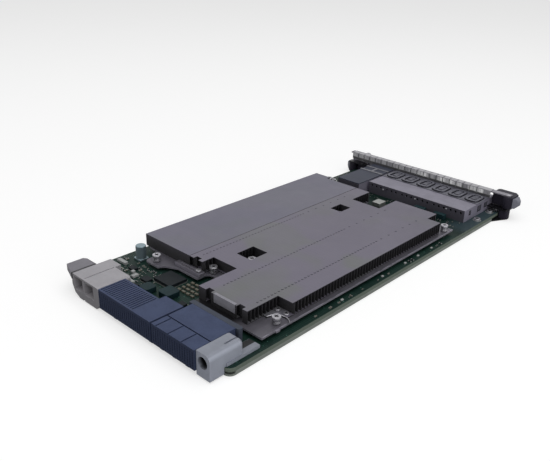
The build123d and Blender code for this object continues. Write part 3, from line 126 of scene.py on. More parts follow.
class Shade:
    """A number in a shader, which adds Math nodes when it stands in an expression."""

    def __init__(self, graph: "Graph", socket: bpy.types.NodeSocket) -> None:
        """Keep the graph and the socket that holds the number."""
        self.graph = graph
        self.socket = socket

    def _math(self, operation: str, first: "Term", second: "Term" = 0.0, third: "Term" = 0.0) -> "Shade":
        """Add one Math node.

        Args:
            operation: Blender's name of the operation.
            first: Its first value.
            second: Its second value.
            third: Its third value.

        Returns:
            The node's result.
        """
        node = self.graph.node(
            "ShaderNodeMath", {"operation": operation}, {0: first, 1: second, 2: third}
        )
        return Shade(self.graph, node.outputs[0])

    def __add__(self, other: "Term") -> "Shade":
        """Return self + other."""
        return self._math("ADD", self, other)

    def __radd__(self, other: "Term") -> "Shade":
        """Return other + self."""
        return self._math("ADD", other, self)

    def __sub__(self, other: "Term") -> "Shade":
        """Return self - other."""
        return self._math("SUBTRACT", self, other)

    def __rsub__(self, other: "Term") -> "Shade":
        """Return other - self."""
        return self._math("SUBTRACT", other, self)

    def __mul__(self, other: "Term") -> "Shade":
        """Return self * other."""
        return self._math("MULTIPLY", self, other)

    def __rmul__(self, other: "Term") -> "Shade":
        """Return other * self."""
        return self._math("MULTIPLY", other, self)

    def __truediv__(self, other: "Term") -> "Shade":
        """Return self / other."""
        return self._math("DIVIDE", self, other)

    def __mod__(self, other: "Term") -> "Shade":
        """Return what is left of self after whole steps of other, never below 0."""
        return self._math("FLOORED_MODULO", self, other)

    def __gt__(self, other: "Term") -> "Shade":
        """Return 1 where self is above other, and 0 elsewhere."""
        return self._math("GREATER_THAN", self, other)

    def __lt__(self, other: "Term") -> "Shade":
        """Return 1 where self is below other, and 0 elsewhere."""
        return self._math("LESS_THAN", self, other)

    def __abs__(self) -> "Shade":
        """Return self without its sign."""
        return self._math("ABSOLUTE", self)

    def ramp(self, low: float, high: float) -> "Shade":
        """Rise smoothly between two values.

        Args:
            low: The result is 0 below this.
            high: The result is 1 above this.

        Returns:
            The rise, from 0 to 1.
        """
        node = self.graph.node(
            "ShaderNodeMapRange",
            {"interpolation_type": "SMOOTHSTEP", "clamp": True},
            {"Value": self, "From Min": low, "From Max": high},
        )
        return Shade(self.graph, node.outputs["Result"])

    def band(self, middle: float, half: float) -> "Shade":
        """Return 1 within half of the middle, and 0 elsewhere."""
        return abs(self - middle) < half


Term = Union[Shade, Number]


class Graph:
    """The node tree of one material."""

    MIX_LOW = 6
    MIX_HIGH = 7
    MIX_RESULT = 2

    def __init__(self, material: bpy.types.Material) -> None:
        """Empty the material's tree and add the shader and the output.

        Args:
            material: The material whose tree it is.
        """
        material.use_nodes = True
        self.tree = material.node_tree
        self.tree.nodes.clear()
        self.output = self.node("ShaderNodeOutputMaterial")
        self.shader = self.node("ShaderNodeBsdfPrincipled")
        self.tree.links.new(self.shader.outputs["BSDF"], self.output.inputs["Surface"])
        self._place: Optional[bpy.types.NodeSocket] = None

    def node(
        self,
        kind: str,
        settings: Optional[dict[str, Any]] = None,
        inputs: Optional[dict[Union[str, int], Any]] = None,
    ) -> bpy.types.Node:
        """Add a node of any kind.

        Args:
            kind: Blender's name of the node type.
            settings: Attributes of the node, set before its inputs.
            inputs: Values or links for its sockets, by name or number.

        Returns:
            The new node.
        """
        made = self.tree.nodes.new(kind)
        for name, value in (settings or {}).items():
            setattr(made, name, value)
        for key, value in (inputs or {}).items():
            self.feed(made.inputs[key], value)
        return made

    def feed(self, socket: bpy.types.NodeSocket, value: Any) -> None:
        """Link a shade or a socket into a socket, or set its value.

        Args:
            socket: The socket that takes it.
            value: A shade, a socket, a number, or a colour or vector.
        """
        if isinstance(value, Shade):
            value = value.socket
        if isinstance(value, bpy.types.NodeSocket):
            self.tree.links.new(value, socket)
        elif isinstance(value, (int, float)):
            socket.default_value = value
        else:
            values = tuple(value)
            socket.default_value = values if len(values) == len(socket.default_value) else (*values, 1.0)

    def place(self) -> bpy.types.NodeSocket:
        """Return the surface point in millimetres in the model's frame.

        Returns:
            The socket of the point, made once for each material.
        """
        if self._place is None:
            source = self.node("ShaderNodeTexCoord")
            self._place = self.vector("SCALE", source.outputs["Object"], scale=1 / MM)
        return self._place

    def vector(self, operation: str, first: Any, second: Any = (0, 0, 0), scale: float = 1.0) -> Any:
        """Add one Vector Math node and return its vector."""
        inputs = {0: first, "Scale": scale} if operation == "SCALE" else {0: first, 1: second}
        return self.node("ShaderNodeVectorMath", {"operation": operation}, inputs).outputs["Vector"]

    def along(self, axis: Axis) -> Shade:
        """Return the surface point's place along one axis, in millimetres."""
        parts = self.node("ShaderNodeSeparateXYZ", None, {"Vector": self.place()})
        return Shade(self, parts.outputs[axis.value])

    def facing(self, axis: Axis) -> Shade:
        """Return how far the surface faces along one axis.

        Args:
            axis: The axis.

        Returns:
            The share from -1 to 1.
        """
        source = self.node("ShaderNodeNewGeometry")
        parts = self.node("ShaderNodeSeparateXYZ", None, {"Vector": source.outputs["Normal"]})
        return Shade(self, parts.outputs[axis.value])

    def noise(self, size: float, detail: float = 2.0, stretch: Point = (1, 1, 1)) -> Shade:
        """Return a noise over the surface.

        Args:
            size: About how wide its lumps are, in millimetres.
            detail: How many finer layers it has.
            stretch: Factors on the place along each axis; a small one draws the lumps out.

        Returns:
            The noise, from 0 to 1.
        """
        place = self.vector("MULTIPLY", self.place(), stretch)
        made = self.node(
            "ShaderNodeTexNoise", None, {"Vector": place, "Scale": 1 / size, "Detail": detail}
        )
        return Shade(self, made.outputs["Fac"])

    def cells(self, size: float, settings: Optional[dict[str, Any]] = None) -> bpy.types.Node:
        """Return a Voronoi node whose cells are about size millimetres across."""
        inputs = {"Vector": self.place(), "Scale": 1 / size}
        return self.node("ShaderNodeTexVoronoi", settings, inputs)

    def mix(self, factor: Term, low: Any, high: Any) -> bpy.types.NodeSocket:
        """Add one Mix node.

        Args:
            factor: 0 for the low colour, 1 for the high one.
            low: A colour, or the socket of one.
            high: A colour, or the socket of one.

        Returns:
            The socket of the mixed colour.
        """
        inputs = {0: factor, self.MIX_LOW: low, self.MIX_HIGH: high}
        made = self.node("ShaderNodeMix", {"data_type": "RGBA"}, inputs)
        return made.outputs[self.MIX_RESULT]

    def bump(self, height: Shade, depth: float) -> None:
        """Drive the shader's normal with a height, depth millimetres from 0 to 1."""
        made = self.node("ShaderNodeBump", None, {"Height": height, "Distance": depth * MM})
        self.feed(self.shader.inputs["Normal"], made.outputs["Normal"])

    def set_specular(self, level: float) -> None:
        """Set the shader's constant specular level."""
        self.shader.inputs["Specular IOR Level"].default_value = level

    def set(self, **values: Any) -> None:
        """Set or link the shader's sockets, named with underscores for spaces."""
        for name, value in values.items():
            self.feed(self.shader.inputs[name.replace("_", " ")], value)


@dataclass(frozen=True)
class Finish:
    """A surface of one colour with soft mottling, fine grain and uneven gloss."""

    name: str
    colour: Colour
    roughness: float = 0.5
    metallic: float = 0.0
    mottle: float = 0.12
    mottle_size: float = 9.0
    grain: float = 0.01
    grain_size: float = 0.35
    stretch: Point = (1, 1, 1)
    coat: float = 0.0
    specular: float = 0.3
    speck_size: float = 4.0
    lump_share: float = 0.7
    mottle_ramp: Span = (0.3, 0.7)
    rough_size: float = 0.6
    rough_spread: float = 0.16

    def material(self) -> bpy.types.Material:
        """Return this finish's material, made once.

        Returns:
            The material.
        """
        title = f"look_{self.name}"
        found = bpy.data.materials.get(title)
        if found is None:
            found = bpy.data.materials.new(title)
            self.paint(Graph(found))
        return found

    def tint(self, graph: Graph) -> Any:
        """Return the base colour with its mottling.

        Args:
            graph: The material's graph.

        Returns:
            The socket of the colour.
        """
        lumps = graph.noise(self.mottle_size, 3.0)
        specks = graph.noise(self.grain_size * self.speck_size, 2.0, self.stretch)
        blend = (lumps * self.lump_share + specks * (1 - self.lump_share)).ramp(*self.mottle_ramp)
        dark, light = (shade_of(self.colour, 1 + sign * self.mottle) for sign in (-1, 1))
        return graph.mix(blend, dark, light)

    def paint(self, graph: Graph) -> None:
        """Fill the material's graph.

        Args:
            graph: The material's graph.
        """
        grain = graph.noise(self.grain_size, 3.0, self.stretch)
        rough = graph.noise(self.mottle_size * self.rough_size, 2.0)
        graph.set(
            Base_Color=self.tint(graph),
            Roughness=self.roughness + (rough - 0.5) * self.rough_spread,
            Metallic=self.metallic,
            Coat_Weight=self.coat,
        )
        graph.set_specular(self.specular)
        graph.bump(grain, self.grain)


@dataclass(frozen=True)
class BrushedFinish(Finish):
    """Sheet metal with a fine one-way grain and dull blotches."""

    streak_spread: float = 0.12
    blotch_spread: float = 0.2

    def paint(self, graph: Graph) -> None:
        """Fill the material's graph.

        Args:
            graph: The material's graph.
        """
        streaks = graph.noise(self.grain_size, 2.0, self.stretch)
        blotch = graph.noise(self.mottle_size, 3.0)
        uneven = (streaks - 0.5) * self.streak_spread
        graph.set(
            Base_Color=self.tint(graph),
            Roughness=self.roughness + uneven + (blotch - 0.5) * self.blotch_spread,
            Metallic=self.metallic,
        )
        graph.bump(streaks, self.grain)


@dataclass(frozen=True)
class SinkFinish(Finish):
    """Satin heat-sink aluminium, with painted shade on the fins' upright faces, darkest at the bottom, and
    faint handling marks on the top.
    """

    deep_shade: float = 0.05
    rim_shade: float = 0.24
    depth_ramp: Span = (0.35, 1.3)
    top_z: float = 16.2
    bottom_z: float = 8.1
    fin_pitch: float = 2.8
    fold_y: float = 112.9
    fold_width: float = 0.14
    fold_mark: float = 0.22
    fold_relief: float = 0.8
    seam_mark: float = 0.7
    line_shade: float = 0.25
    patch_colour: Colour = (0.13, 0.127, 0.13)
    patch_size: float = 34.0
    patch_ramp: Span = (0.48, 0.62)
    far_shade: float = 0.76
    far_ramp: Span = (-95.0, 40.0)
    left_colour: Colour = (0.112, 0.115, 0.158)
    seam_x: float = 21.1
    seam_half: float = 0.3
    wear_size: float = 26.0
    wear_ramp: Span = (0.35, 0.7)
    scuff_size: float = 1.2
    scuff_stretch: Point = (1, 0.15, 1)
    scuff_ramp: Span = (0.62, 0.8)
    scuff_area_size: float = 30.0
    scuff_area_ramp: Span = (0.45, 0.6)
    scuff_shade: float = 1.45
    upward_ramp: Span = (0.4, 0.9)
    rough_patch_size: float = 14.0
    rough_patch_spread: float = 0.18
    wall_rough: float = 0.3
    patch_share: float = 0.9
    far_share: float = 0.8
    left_share: float = 0.6
    wear_share: float = 0.5
    scuff_share: float = 0.35

    def paint(self, graph: Graph) -> None:
        """Fill the material's graph.

        Args:
            graph: The material's graph.
        """
        across = graph.along(Axis.X)
        upward = graph.facing(Axis.Z).ramp(*self.upward_ramp)
        fold = ((graph.along(Axis.Y) - self.fold_y) % self.fin_pitch) < self.fold_width
        lines = fold * self.fold_mark + across.band(self.seam_x, self.seam_half) * self.seam_mark
        folded = graph.mix(lines, self.handled(graph, across), shade_of(self.colour, self.line_shade))
        # Painted shade: every face that does not face up gets a darker copy of the colour, from deep_shade
        # at the bottom to rim_shade at the top.
        depth = (graph.along(Axis.Z) - self.bottom_z) / (self.top_z - self.bottom_z)
        deep, rim = shade_of(self.colour, self.deep_shade), shade_of(self.colour, self.rim_shade)
        wall_shade = graph.mix(depth.ramp(*self.depth_ramp), deep, rim)
        rough = (graph.noise(self.rough_patch_size, 3.0) - 0.5) * self.rough_patch_spread
        graph.set(
            Base_Color=graph.mix(upward, wall_shade, folded),
            Roughness=self.roughness + rough + (1 - upward) * self.wall_rough,
            Metallic=self.metallic * upward,
        )
        graph.bump(graph.noise(self.grain_size, 3.0, self.stretch) - fold * self.fold_relief, self.grain)

    def handled(self, graph: Graph, across: Shade) -> bpy.types.NodeSocket:
        """Return the top's colour, with its patches, its darker far end and its handling marks.

        Args:
            graph: The material's graph.
            across: The place along X.

        Returns:
            The socket of the colour.
        """
        hue = graph.noise(self.patch_size, 1.0).ramp(*self.patch_ramp)
        plain = graph.mix(hue * self.patch_share, self.colour, self.patch_colour)
        # Darker towards the far end along Y.
        dull = (1 - graph.along(Axis.Y).ramp(*self.far_ramp)) * self.far_share
        faded = graph.mix(dull, plain, shade_of(self.colour, self.far_shade))
        left = graph.mix((across > self.seam_x) * self.left_share, faded, self.left_colour)
        wear = graph.noise(self.wear_size, 4.0).ramp(*self.wear_ramp)
        worn = graph.mix(wear * self.wear_share, left, shade_of(self.colour, 1 + self.mottle))
        area = graph.noise(self.scuff_area_size, 2.0).ramp(*self.scuff_area_ramp)
        scuff = graph.noise(self.scuff_size, 3.0, self.scuff_stretch).ramp(*self.scuff_ramp) * area
        return graph.mix(scuff * self.scuff_share, worn, shade_of(self.colour, self.scuff_shade))


@dataclass(frozen=True)
class FacedFinish(Finish):
    """A surface painted with light and shade by facing: its faces towards the backplane, towards the sides
    along X and upwards are lit or shaded copies of its colour.
    """

    front_shade: float = 1.0
    side_shade: float = 1.0
    top_shade: float = 1.0
    side_ramp: Span = (0.5, 0.8)
    top_ramp: Span = (0.7, 0.95)
    streak_spread: float = 0.12
    front_rough: float = 0.15

    def inside(self, graph: Graph) -> Term:
        """Return 1 where the surface is inside a bore: nowhere, unless a finish says so."""
        return 0.0

    def paint(self, graph: Graph) -> None:
        """Fill the material's graph.

        Args:
            graph: The material's graph.
        """
        # Painted light and shade: front_shade, side_shade and top_shade give lighter or darker copies of the
        # colour by the way each face points.
        front = graph.facing(Axis.Y).ramp(*self.side_ramp)
        side = abs(graph.facing(Axis.X)).ramp(*self.side_ramp)
        streaks = graph.noise(self.grain_size, 2.0, self.stretch)
        patches = graph.noise(self.mottle_size * 0.5, 3.0) * 0.5 + 0.5
        top = graph.facing(Axis.Z).ramp(*self.top_ramp)
        tint = graph.mix(top * (self.top_shade > 1), self.tint(graph), shade_of(self.colour, self.top_shade))
        front_lit = graph.mix(front, tint, shade_of(self.colour, self.front_shade))
        outside = side * patches * (1 - self.inside(graph))
        graph.set(
            Base_Color=graph.mix(outside, front_lit, shade_of(self.colour, self.side_shade)),
            Roughness=self.roughness + (streaks - 0.5) * self.streak_spread + front * self.front_rough,
            Metallic=self.metallic,
        )
        graph.set_specular(self.specular)
        graph.bump(streaks, self.grain)


@dataclass(frozen=True)
class BoredFinish(FacedFinish):
    """A cast surface with painted shade inside its bore."""

    bore_x: float = -59.4
    bore_z: float = 9.4
    bore_radius: float = 3.45
    lip_y: float = 153.6
    lip_fade: float = 4.0
    bore_shade: float = 0.05

    def tint(self, graph: Graph) -> Any:
        """Return the casting's colour, with painted shade inside the bore."""
        return graph.mix(self.inside(graph), super().tint(graph), shade_of(self.colour, self.bore_shade))

    def inside(self, graph: Graph) -> Shade:
        """Return 1 on the wall of the bore, and 0 elsewhere.

        Args:
            graph: The material's graph.

        Returns:
            The mask.
        """
        across = graph.along(Axis.X) - self.bore_x
        height = graph.along(Axis.Z) - self.bore_z
        near = (across * across + height * height) < self.bore_radius * self.bore_radius
        # Painted shade inside the bore, fading out over lip_fade towards the front.
        return near * (1 - graph.along(Axis.Y).ramp(self.lip_y - self.lip_fade, self.lip_y))


@dataclass(frozen=True)
class BaseFinish(FacedFinish):
    """Plate of the heat sinks, with a painted highlight along its long outer edge and a painted shadow
    behind the connectors.
    """

    rim_x: float = -62.8
    shadow_y: float = 109.6
    shadow_low_x: float = -48.0
    shadow_high_x: float = 6.0
    shadow_fade: float = 9.0
    shadow_factor: float = 0.04
    shadow_share: float = 0.95
    highlight_size: float = 7.0
    highlight_ramp: Span = (0.35, 0.55)
    highlight_shade: float = 2.4

    def tint(self, graph: Graph) -> Any:
        """Return the plate's colour, with the painted highlight along the edge and the painted shadow at its
        near end.

        Args:
            graph: The material's graph.

        Returns:
            The socket of the colour.
        """
        across = graph.along(Axis.X)
        # Painted highlight in patches along the long outer edge.
        rim = across < self.rim_x
        edge_highlight = rim * graph.noise(self.highlight_size, 2.0).ramp(*self.highlight_ramp)
        plate = graph.mix(edge_highlight, super().tint(graph), shade_of(self.colour, self.highlight_shade))
        # Painted shadow on the strip of plate behind the connectors.
        start = across.ramp(self.shadow_low_x, self.shadow_low_x + self.shadow_fade)
        near = graph.along(Axis.Y) > self.shadow_y
        shadow = start * (across < self.shadow_high_x) * near
        return graph.mix(shadow * self.shadow_share, plate, shade_of(self.colour, self.shadow_factor))


@dataclass(frozen=True)
class EndFinish(Finish):
    """A moulded cap with a painted shadow along its inner edge, where a narrow gap parts it from the next
    connector.
    """

    seam_x: float = 54.0
    seam_half: float = 0.2
    gap_shadow_shade: float = 0.2

    def tint(self, graph: Graph) -> Any:
        """Return the cap's colour, with the painted shadow along its inner edge."""
        # Painted shadow of the narrow gap along the inner edge.
        gap_shadow = 1 - graph.along(Axis.X).ramp(self.seam_x - self.seam_half, self.seam_x + self.seam_half)
        return graph.mix(gap_shadow, super().tint(graph), shade_of(self.colour, self.gap_shadow_shade))


@dataclass(frozen=True)
class StripFinish(Finish):
    """Sprung contact strip: a pale band along its bent top edge, fingers with streaks of painted highlight,
    and painted shade in the slits between them and over the lower band of its rear face.
    """

    finger_pitch: float = 3.0
    finger_gap: float = 0.5
    foot_z: float = 16.0
    edge_z: float = 18.9
    edge_fade: float = 0.4
    bright_x: float = 4.0
    bright_fade: float = 8.0
    rear_ramp: Span = (0.4, 0.7)
    lit_size: float = 7.0
    lit_stretch: Point = (1, 0.01, 0.01)
    lit_ramp: Span = (0.36, 0.6)
    zone_share: float = 0.8
    gap_shade_share: float = 0.3
    dull_shade: float = 0.5
    bright_shade: float = 1.75
    dark_shade: float = 0.1
    edge_shade: float = 0.6
    rough_size: float = 5.0
    rough_spread: float = 0.2

    def paint(self, graph: Graph) -> None:
        """Fill the material's graph.

        Args:
            graph: The material's graph.
        """
        across = graph.along(Axis.X)
        height = graph.along(Axis.Z)
        rear = graph.facing(Axis.Y).ramp(*self.rear_ramp)
        dull, bright, dark, rim = (
            shade_of(self.colour, factor)
            for factor in (self.dull_shade, self.bright_shade, self.dark_shade, self.edge_shade)
        )
        # Painted highlight: lit streaks along the fingers, fading out towards one end.
        lit = graph.noise(self.lit_size, 1.0, self.lit_stretch).ramp(*self.lit_ramp)
        fade = self.bright_fade
        zone = 1 - across.ramp(self.bright_x - fade, self.bright_x + fade) * self.zone_share
        # Painted shade in the slits between the fingers, on the rear face.
        gap = ((across % self.finger_pitch) < self.finger_gap) * rear
        fingers = graph.mix(gap * self.gap_shade_share, graph.mix(lit * zone, dull, bright), dark)
        # Painted shadow over the lower band of the rear face.
        foot_shadow = (1 - height.ramp(self.foot_z - self.edge_fade, self.foot_z + self.edge_fade)) * rear
        foot_shaded = graph.mix(foot_shadow, fingers, dark)
        rough = graph.noise(self.rough_size, 2.0) - 0.5
        graph.set(
            Base_Color=graph.mix(height.ramp(self.edge_z, self.edge_z + self.edge_fade), foot_shaded, rim),
            Roughness=self.roughness + rough * self.rough_spread,
            Metallic=self.metallic,
        )
        graph.bump(graph.noise(self.grain_size, 2.0), self.grain)


@dataclass(frozen=True)
class PanelFinish(BrushedFinish):
    """Plated panel sheet, with the ears behind its ends painted black."""

    ear_colour: Colour = (0.008, 0.008, 0.011)
    ear_x: float = 59.3
    ear_y: float = -143.1
    ear_top_z: float = 13.0

    def tint(self, graph: Graph) -> Any:
        """Return the sheet's colour, black on the ears.

        Args:
            graph: The material's graph.

        Returns:
            The socket of the colour.
        """
        behind = graph.along(Axis.Y) > self.ear_y
        ear = (abs(graph.along(Axis.X)) > self.ear_x) * behind * (graph.along(Axis.Z) < self.ear_top_z)
        return graph.mix(ear, super().tint(graph), self.ear_colour)


@dataclass(frozen=True)
class BoardFinish(Finish):
    """Solder mask over copper: green top with fine tracks and vias, pale layered edges, painted shade by the
    ports and a painted sheen near its outer far corner.
    """

    edge_colour: Colour = (0.3, 0.33, 0.26)
    track_colour: Colour = (0.014, 0.036, 0.029)
    track_pitch: float = 1.3
    via_size: float = 3.1
    port_shade: float = 0.45
    port_ramp: Span = (-80.0, -66.0)
    sheen_colour: Colour = tone(52, 66, 72)
    sheen_y: float = -92.0
    sheen_x: float = -58.0
    sheen_fade: float = 12.0
    swap_size: float = 17.0
    bundle_size: float = 11.0
    bundle_share: float = 0.47
    track_share: float = 0.32
    via_radius: float = 0.11
    via_shade: float = 6.0
    layer_step: float = 0.4
    layer_line: float = 0.1
    layer_shade: float = 0.7
    layer_share: float = 0.4
    via_share: float = 0.7
    port_share: float = 0.6
    sheen_share: float = 0.75
    track_relief: float = 0.6
    grain_relief: float = 0.4
    upright_ramp: Span = (0.3, 0.7)
    edge_rough: float = 0.25
    relief: float = 0.03

    def paint(self, graph: Graph) -> None:
        """Fill the material's graph.

        Args:
            graph: The material's graph.
        """
        across = graph.along(Axis.X)
        down = graph.along(Axis.Y)
        swap = graph.noise(self.swap_size, 0.0) > 0.5
        route = across * swap + down * (1 - swap)
        bundle = graph.noise(self.bundle_size, 1.0) > self.bundle_share
        track = ((route % self.track_pitch) < self.track_pitch * self.track_share) * bundle
        upright = abs(graph.facing(Axis.Z)).ramp(*self.upright_ramp)
        layers = (graph.along(Axis.Z) % self.layer_step) < self.layer_line
        layered = shade_of(self.edge_colour, self.layer_shade)
        edge = graph.mix(layers * self.layer_share, self.edge_colour, layered)
        top = self.lit(graph, self.copper(graph, track), across, down)
        graph.set(
            Base_Color=graph.mix(upright, edge, top),
            Roughness=self.roughness + (1 - upright) * self.edge_rough,
        )
        graph.set_specular(self.specular)
        fine = graph.noise(self.grain_size, 2.0) * self.grain_relief
        graph.bump(track * self.track_relief + fine, self.relief)

    def copper(self, graph: Graph, track: Shade) -> bpy.types.NodeSocket:
        """Return the mask's colour over its tracks and vias.

        Args:
            graph: The material's graph.
            track: 1 on a track, and 0 elsewhere.

        Returns:
            The socket of the colour.
        """
        dots = graph.cells(self.via_size, {"feature": "F1"})
        via = Shade(graph, dots.outputs["Distance"]) < self.via_radius
        mask = graph.mix(track, self.tint(graph), self.track_colour)
        return graph.mix(via * self.via_share, mask, shade_of(self.track_colour, self.via_shade))

    def lit(
        self, graph: Graph, mask: bpy.types.NodeSocket, across: Shade, down: Shade
    ) -> bpy.types.NodeSocket:
        """Return the top's colour, with painted shade by the ports and a painted sheen along its outer far
        edge.

        Args:
            graph: The material's graph.
            mask: The colour of mask and copper.
            across: The place along X.
            down: The place along Y.

        Returns:
            The socket of the colour.
        """
        # Painted shade on the board by the ports.
        port = 1 - down.ramp(*self.port_ramp)
        shaded = graph.mix(port * self.port_share, mask, shade_of(self.colour, self.port_shade))
        deep = graph.mix(port, mask, shaded)
        # Painted sheen near the outer far corner.
        far = 1 - down.ramp(self.sheen_y, self.sheen_y + self.sheen_fade)
        outer = 1 - across.ramp(self.sheen_x, self.sheen_x + self.sheen_fade)
        return graph.mix(far * outer * self.sheen_share, deep, self.sheen_colour)


class Finishes:
    """Every finish of the board, by what it is on, with its colour, roughness and metallic share."""

    TRAY = BrushedFinish("tray_sheet", tone(140, 146, 140), 0.45, 0.5, stretch=(1, 0.05, 1), grain_size=0.3)
    BOARD = BoardFinish("board_mask", tone(17, 38, 33), 0.42, edge_colour=tone(104, 113, 104), specular=0.1)
    PANEL = PanelFinish("panel_sheet", tone(124, 122, 130), 0.38, 0.6, stretch=(0.05, 1, 1), grain_size=0.3)
    GASKET = StripFinish("gasket_sheet", tone(205, 204, 210), 0.4, 0.15)
    CLIP = BrushedFinish("clip_sheet", tone(104, 104, 112), 0.4, 0.4, 0.35, 2.5, stretch=(1, 0.2, 1))
    LIGHT = Finish("light_guide", tone(190, 200, 194), 0.12, mottle=0.03, coat=0.4)
    LEVER = Finish(
        "lever_black", tone(38, 36, 46), 0.5, mottle=0.2, grain=0.03, grain_size=0.5, specular=0.12
    )
    CLAW = Finish("claw_grey", tone(116, 117, 128), 0.45, mottle=0.1)
    STEEL = BrushedFinish("screw_steel", tone(165, 164, 170), 0.28, 0.8)
    # Painted shade on the rear wall and painted light on the end faces along X.
    CAGE = FacedFinish(
        "cage_sheet", tone(121, 118, 132), 0.4, 0.4, grain_size=0.3, stretch=(0.1, 1, 1), front_shade=0.42,
        side_shade=1.7,
    )
    # Painted shade on the faces towards the backplane and along X.
    COLLAR = FacedFinish(
        "collar_sheet", tone(92, 92, 102), 0.42, 0.4, 0.3, 3.0, grain_size=0.3, stretch=(0.1, 1, 1),
        front_shade=0.4, side_shade=0.9,
    )
    ROOF = FacedFinish("roof_sheet", tone(62, 65, 77), 0.5, 0.15, stretch=(1, 0.1, 1), specular=0.1)
    DARK = Finish("connector_dark", tone(22, 22, 28), 0.5, mottle=0.15, specular=0.2)
    SINK = SinkFinish(
        "sink_satin", tone(102, 98, 112), 0.5, 0.3, mottle=0.09, grain=0.006, patch_colour=tone(99, 101, 101)
    )
    # Painted highlight on the faces towards the backplane and along X, so the plate's thin edges read as
    # bright lines.
    BASE = BaseFinish(
        "base_plate", tone(94, 92, 100), 0.4, 0.4, grain_size=0.3, stretch=(1, 0.06, 1), front_shade=2.0,
        side_shade=2.4,
    )
    BLANK = Finish("blank_card", tone(140, 139, 148), 0.55, mottle=0.08, mottle_size=3.0)
    CHIP = Finish("chip_mould", tone(22, 27, 31), 0.5, mottle=0.12, grain=0.02, specular=0.12)
    PAD = Finish("soft_pad", tone(120, 124, 128), 0.8)
    FERRITE = Finish("ferrite", tone(22, 42, 46), 0.5, mottle=0.25, specular=0.12)
    # Top painted lighter, as painted light from above.
    CAN = FacedFinish("can_metal", tone(98, 112, 118), 0.35, 0.5, top_shade=1.9)
    TAN = Finish("chip_tan", tone(98, 95, 84), 0.5, mottle=0.25, mottle_size=3.0)
    WHITE = Finish("white_mould", tone(160, 162, 162), 0.5, mottle=0.1)
    TIN = Finish("tinned_end", tone(150, 152, 150), 0.35, 0.7, mottle=0.15, mottle_size=2.0)
    # Painted shade on the mating faces and the sides.
    SIGNAL = FacedFinish(
        "signal_blue", tone(65, 74, 100), 0.5, grain=0.02, specular=0.08, front_shade=0.52, side_shade=0.8
    )
    # Painted shade on the faces towards the backplane.
    RAIL = FacedFinish("rail_grey", tone(62, 67, 79), 0.45, mottle=0.08, specular=0.12, front_shade=0.8)
    # Painted shade on the faces towards the backplane.
    POWER = FacedFinish("power_cream", tone(160, 158, 163), 0.5, mottle=0.06, front_shade=0.55)
    BRASS = BrushedFinish("contact_gold", tone(150, 122, 76), 0.3, 0.9)
    END = EndFinish("end_grey", tone(117, 115, 122), 0.5, mottle=0.08)
    # Painted light on the faces towards the backplane and along X, and painted shade in the bore.
    CAST = BoredFinish(
        "guide_cast", tone(134, 138, 149), 0.42, 0.15, mottle=0.08, grain=0.03, grain_size=0.6,
        front_shade=1.15, side_shade=1.6,
    )
    SHADOW = Finish("slot_shadow", tone(16, 16, 20), 0.9, mottle=0.1, specular=0.05)
    OPENING = Finish("opening_shadow", tone(34, 39, 54), 0.7, mottle=0.2, specular=0.08)
    FOLD = Finish("fold_shadow", tone(52, 51, 57), 0.8, mottle=0.3, mottle_size=3.0, specular=0.1)


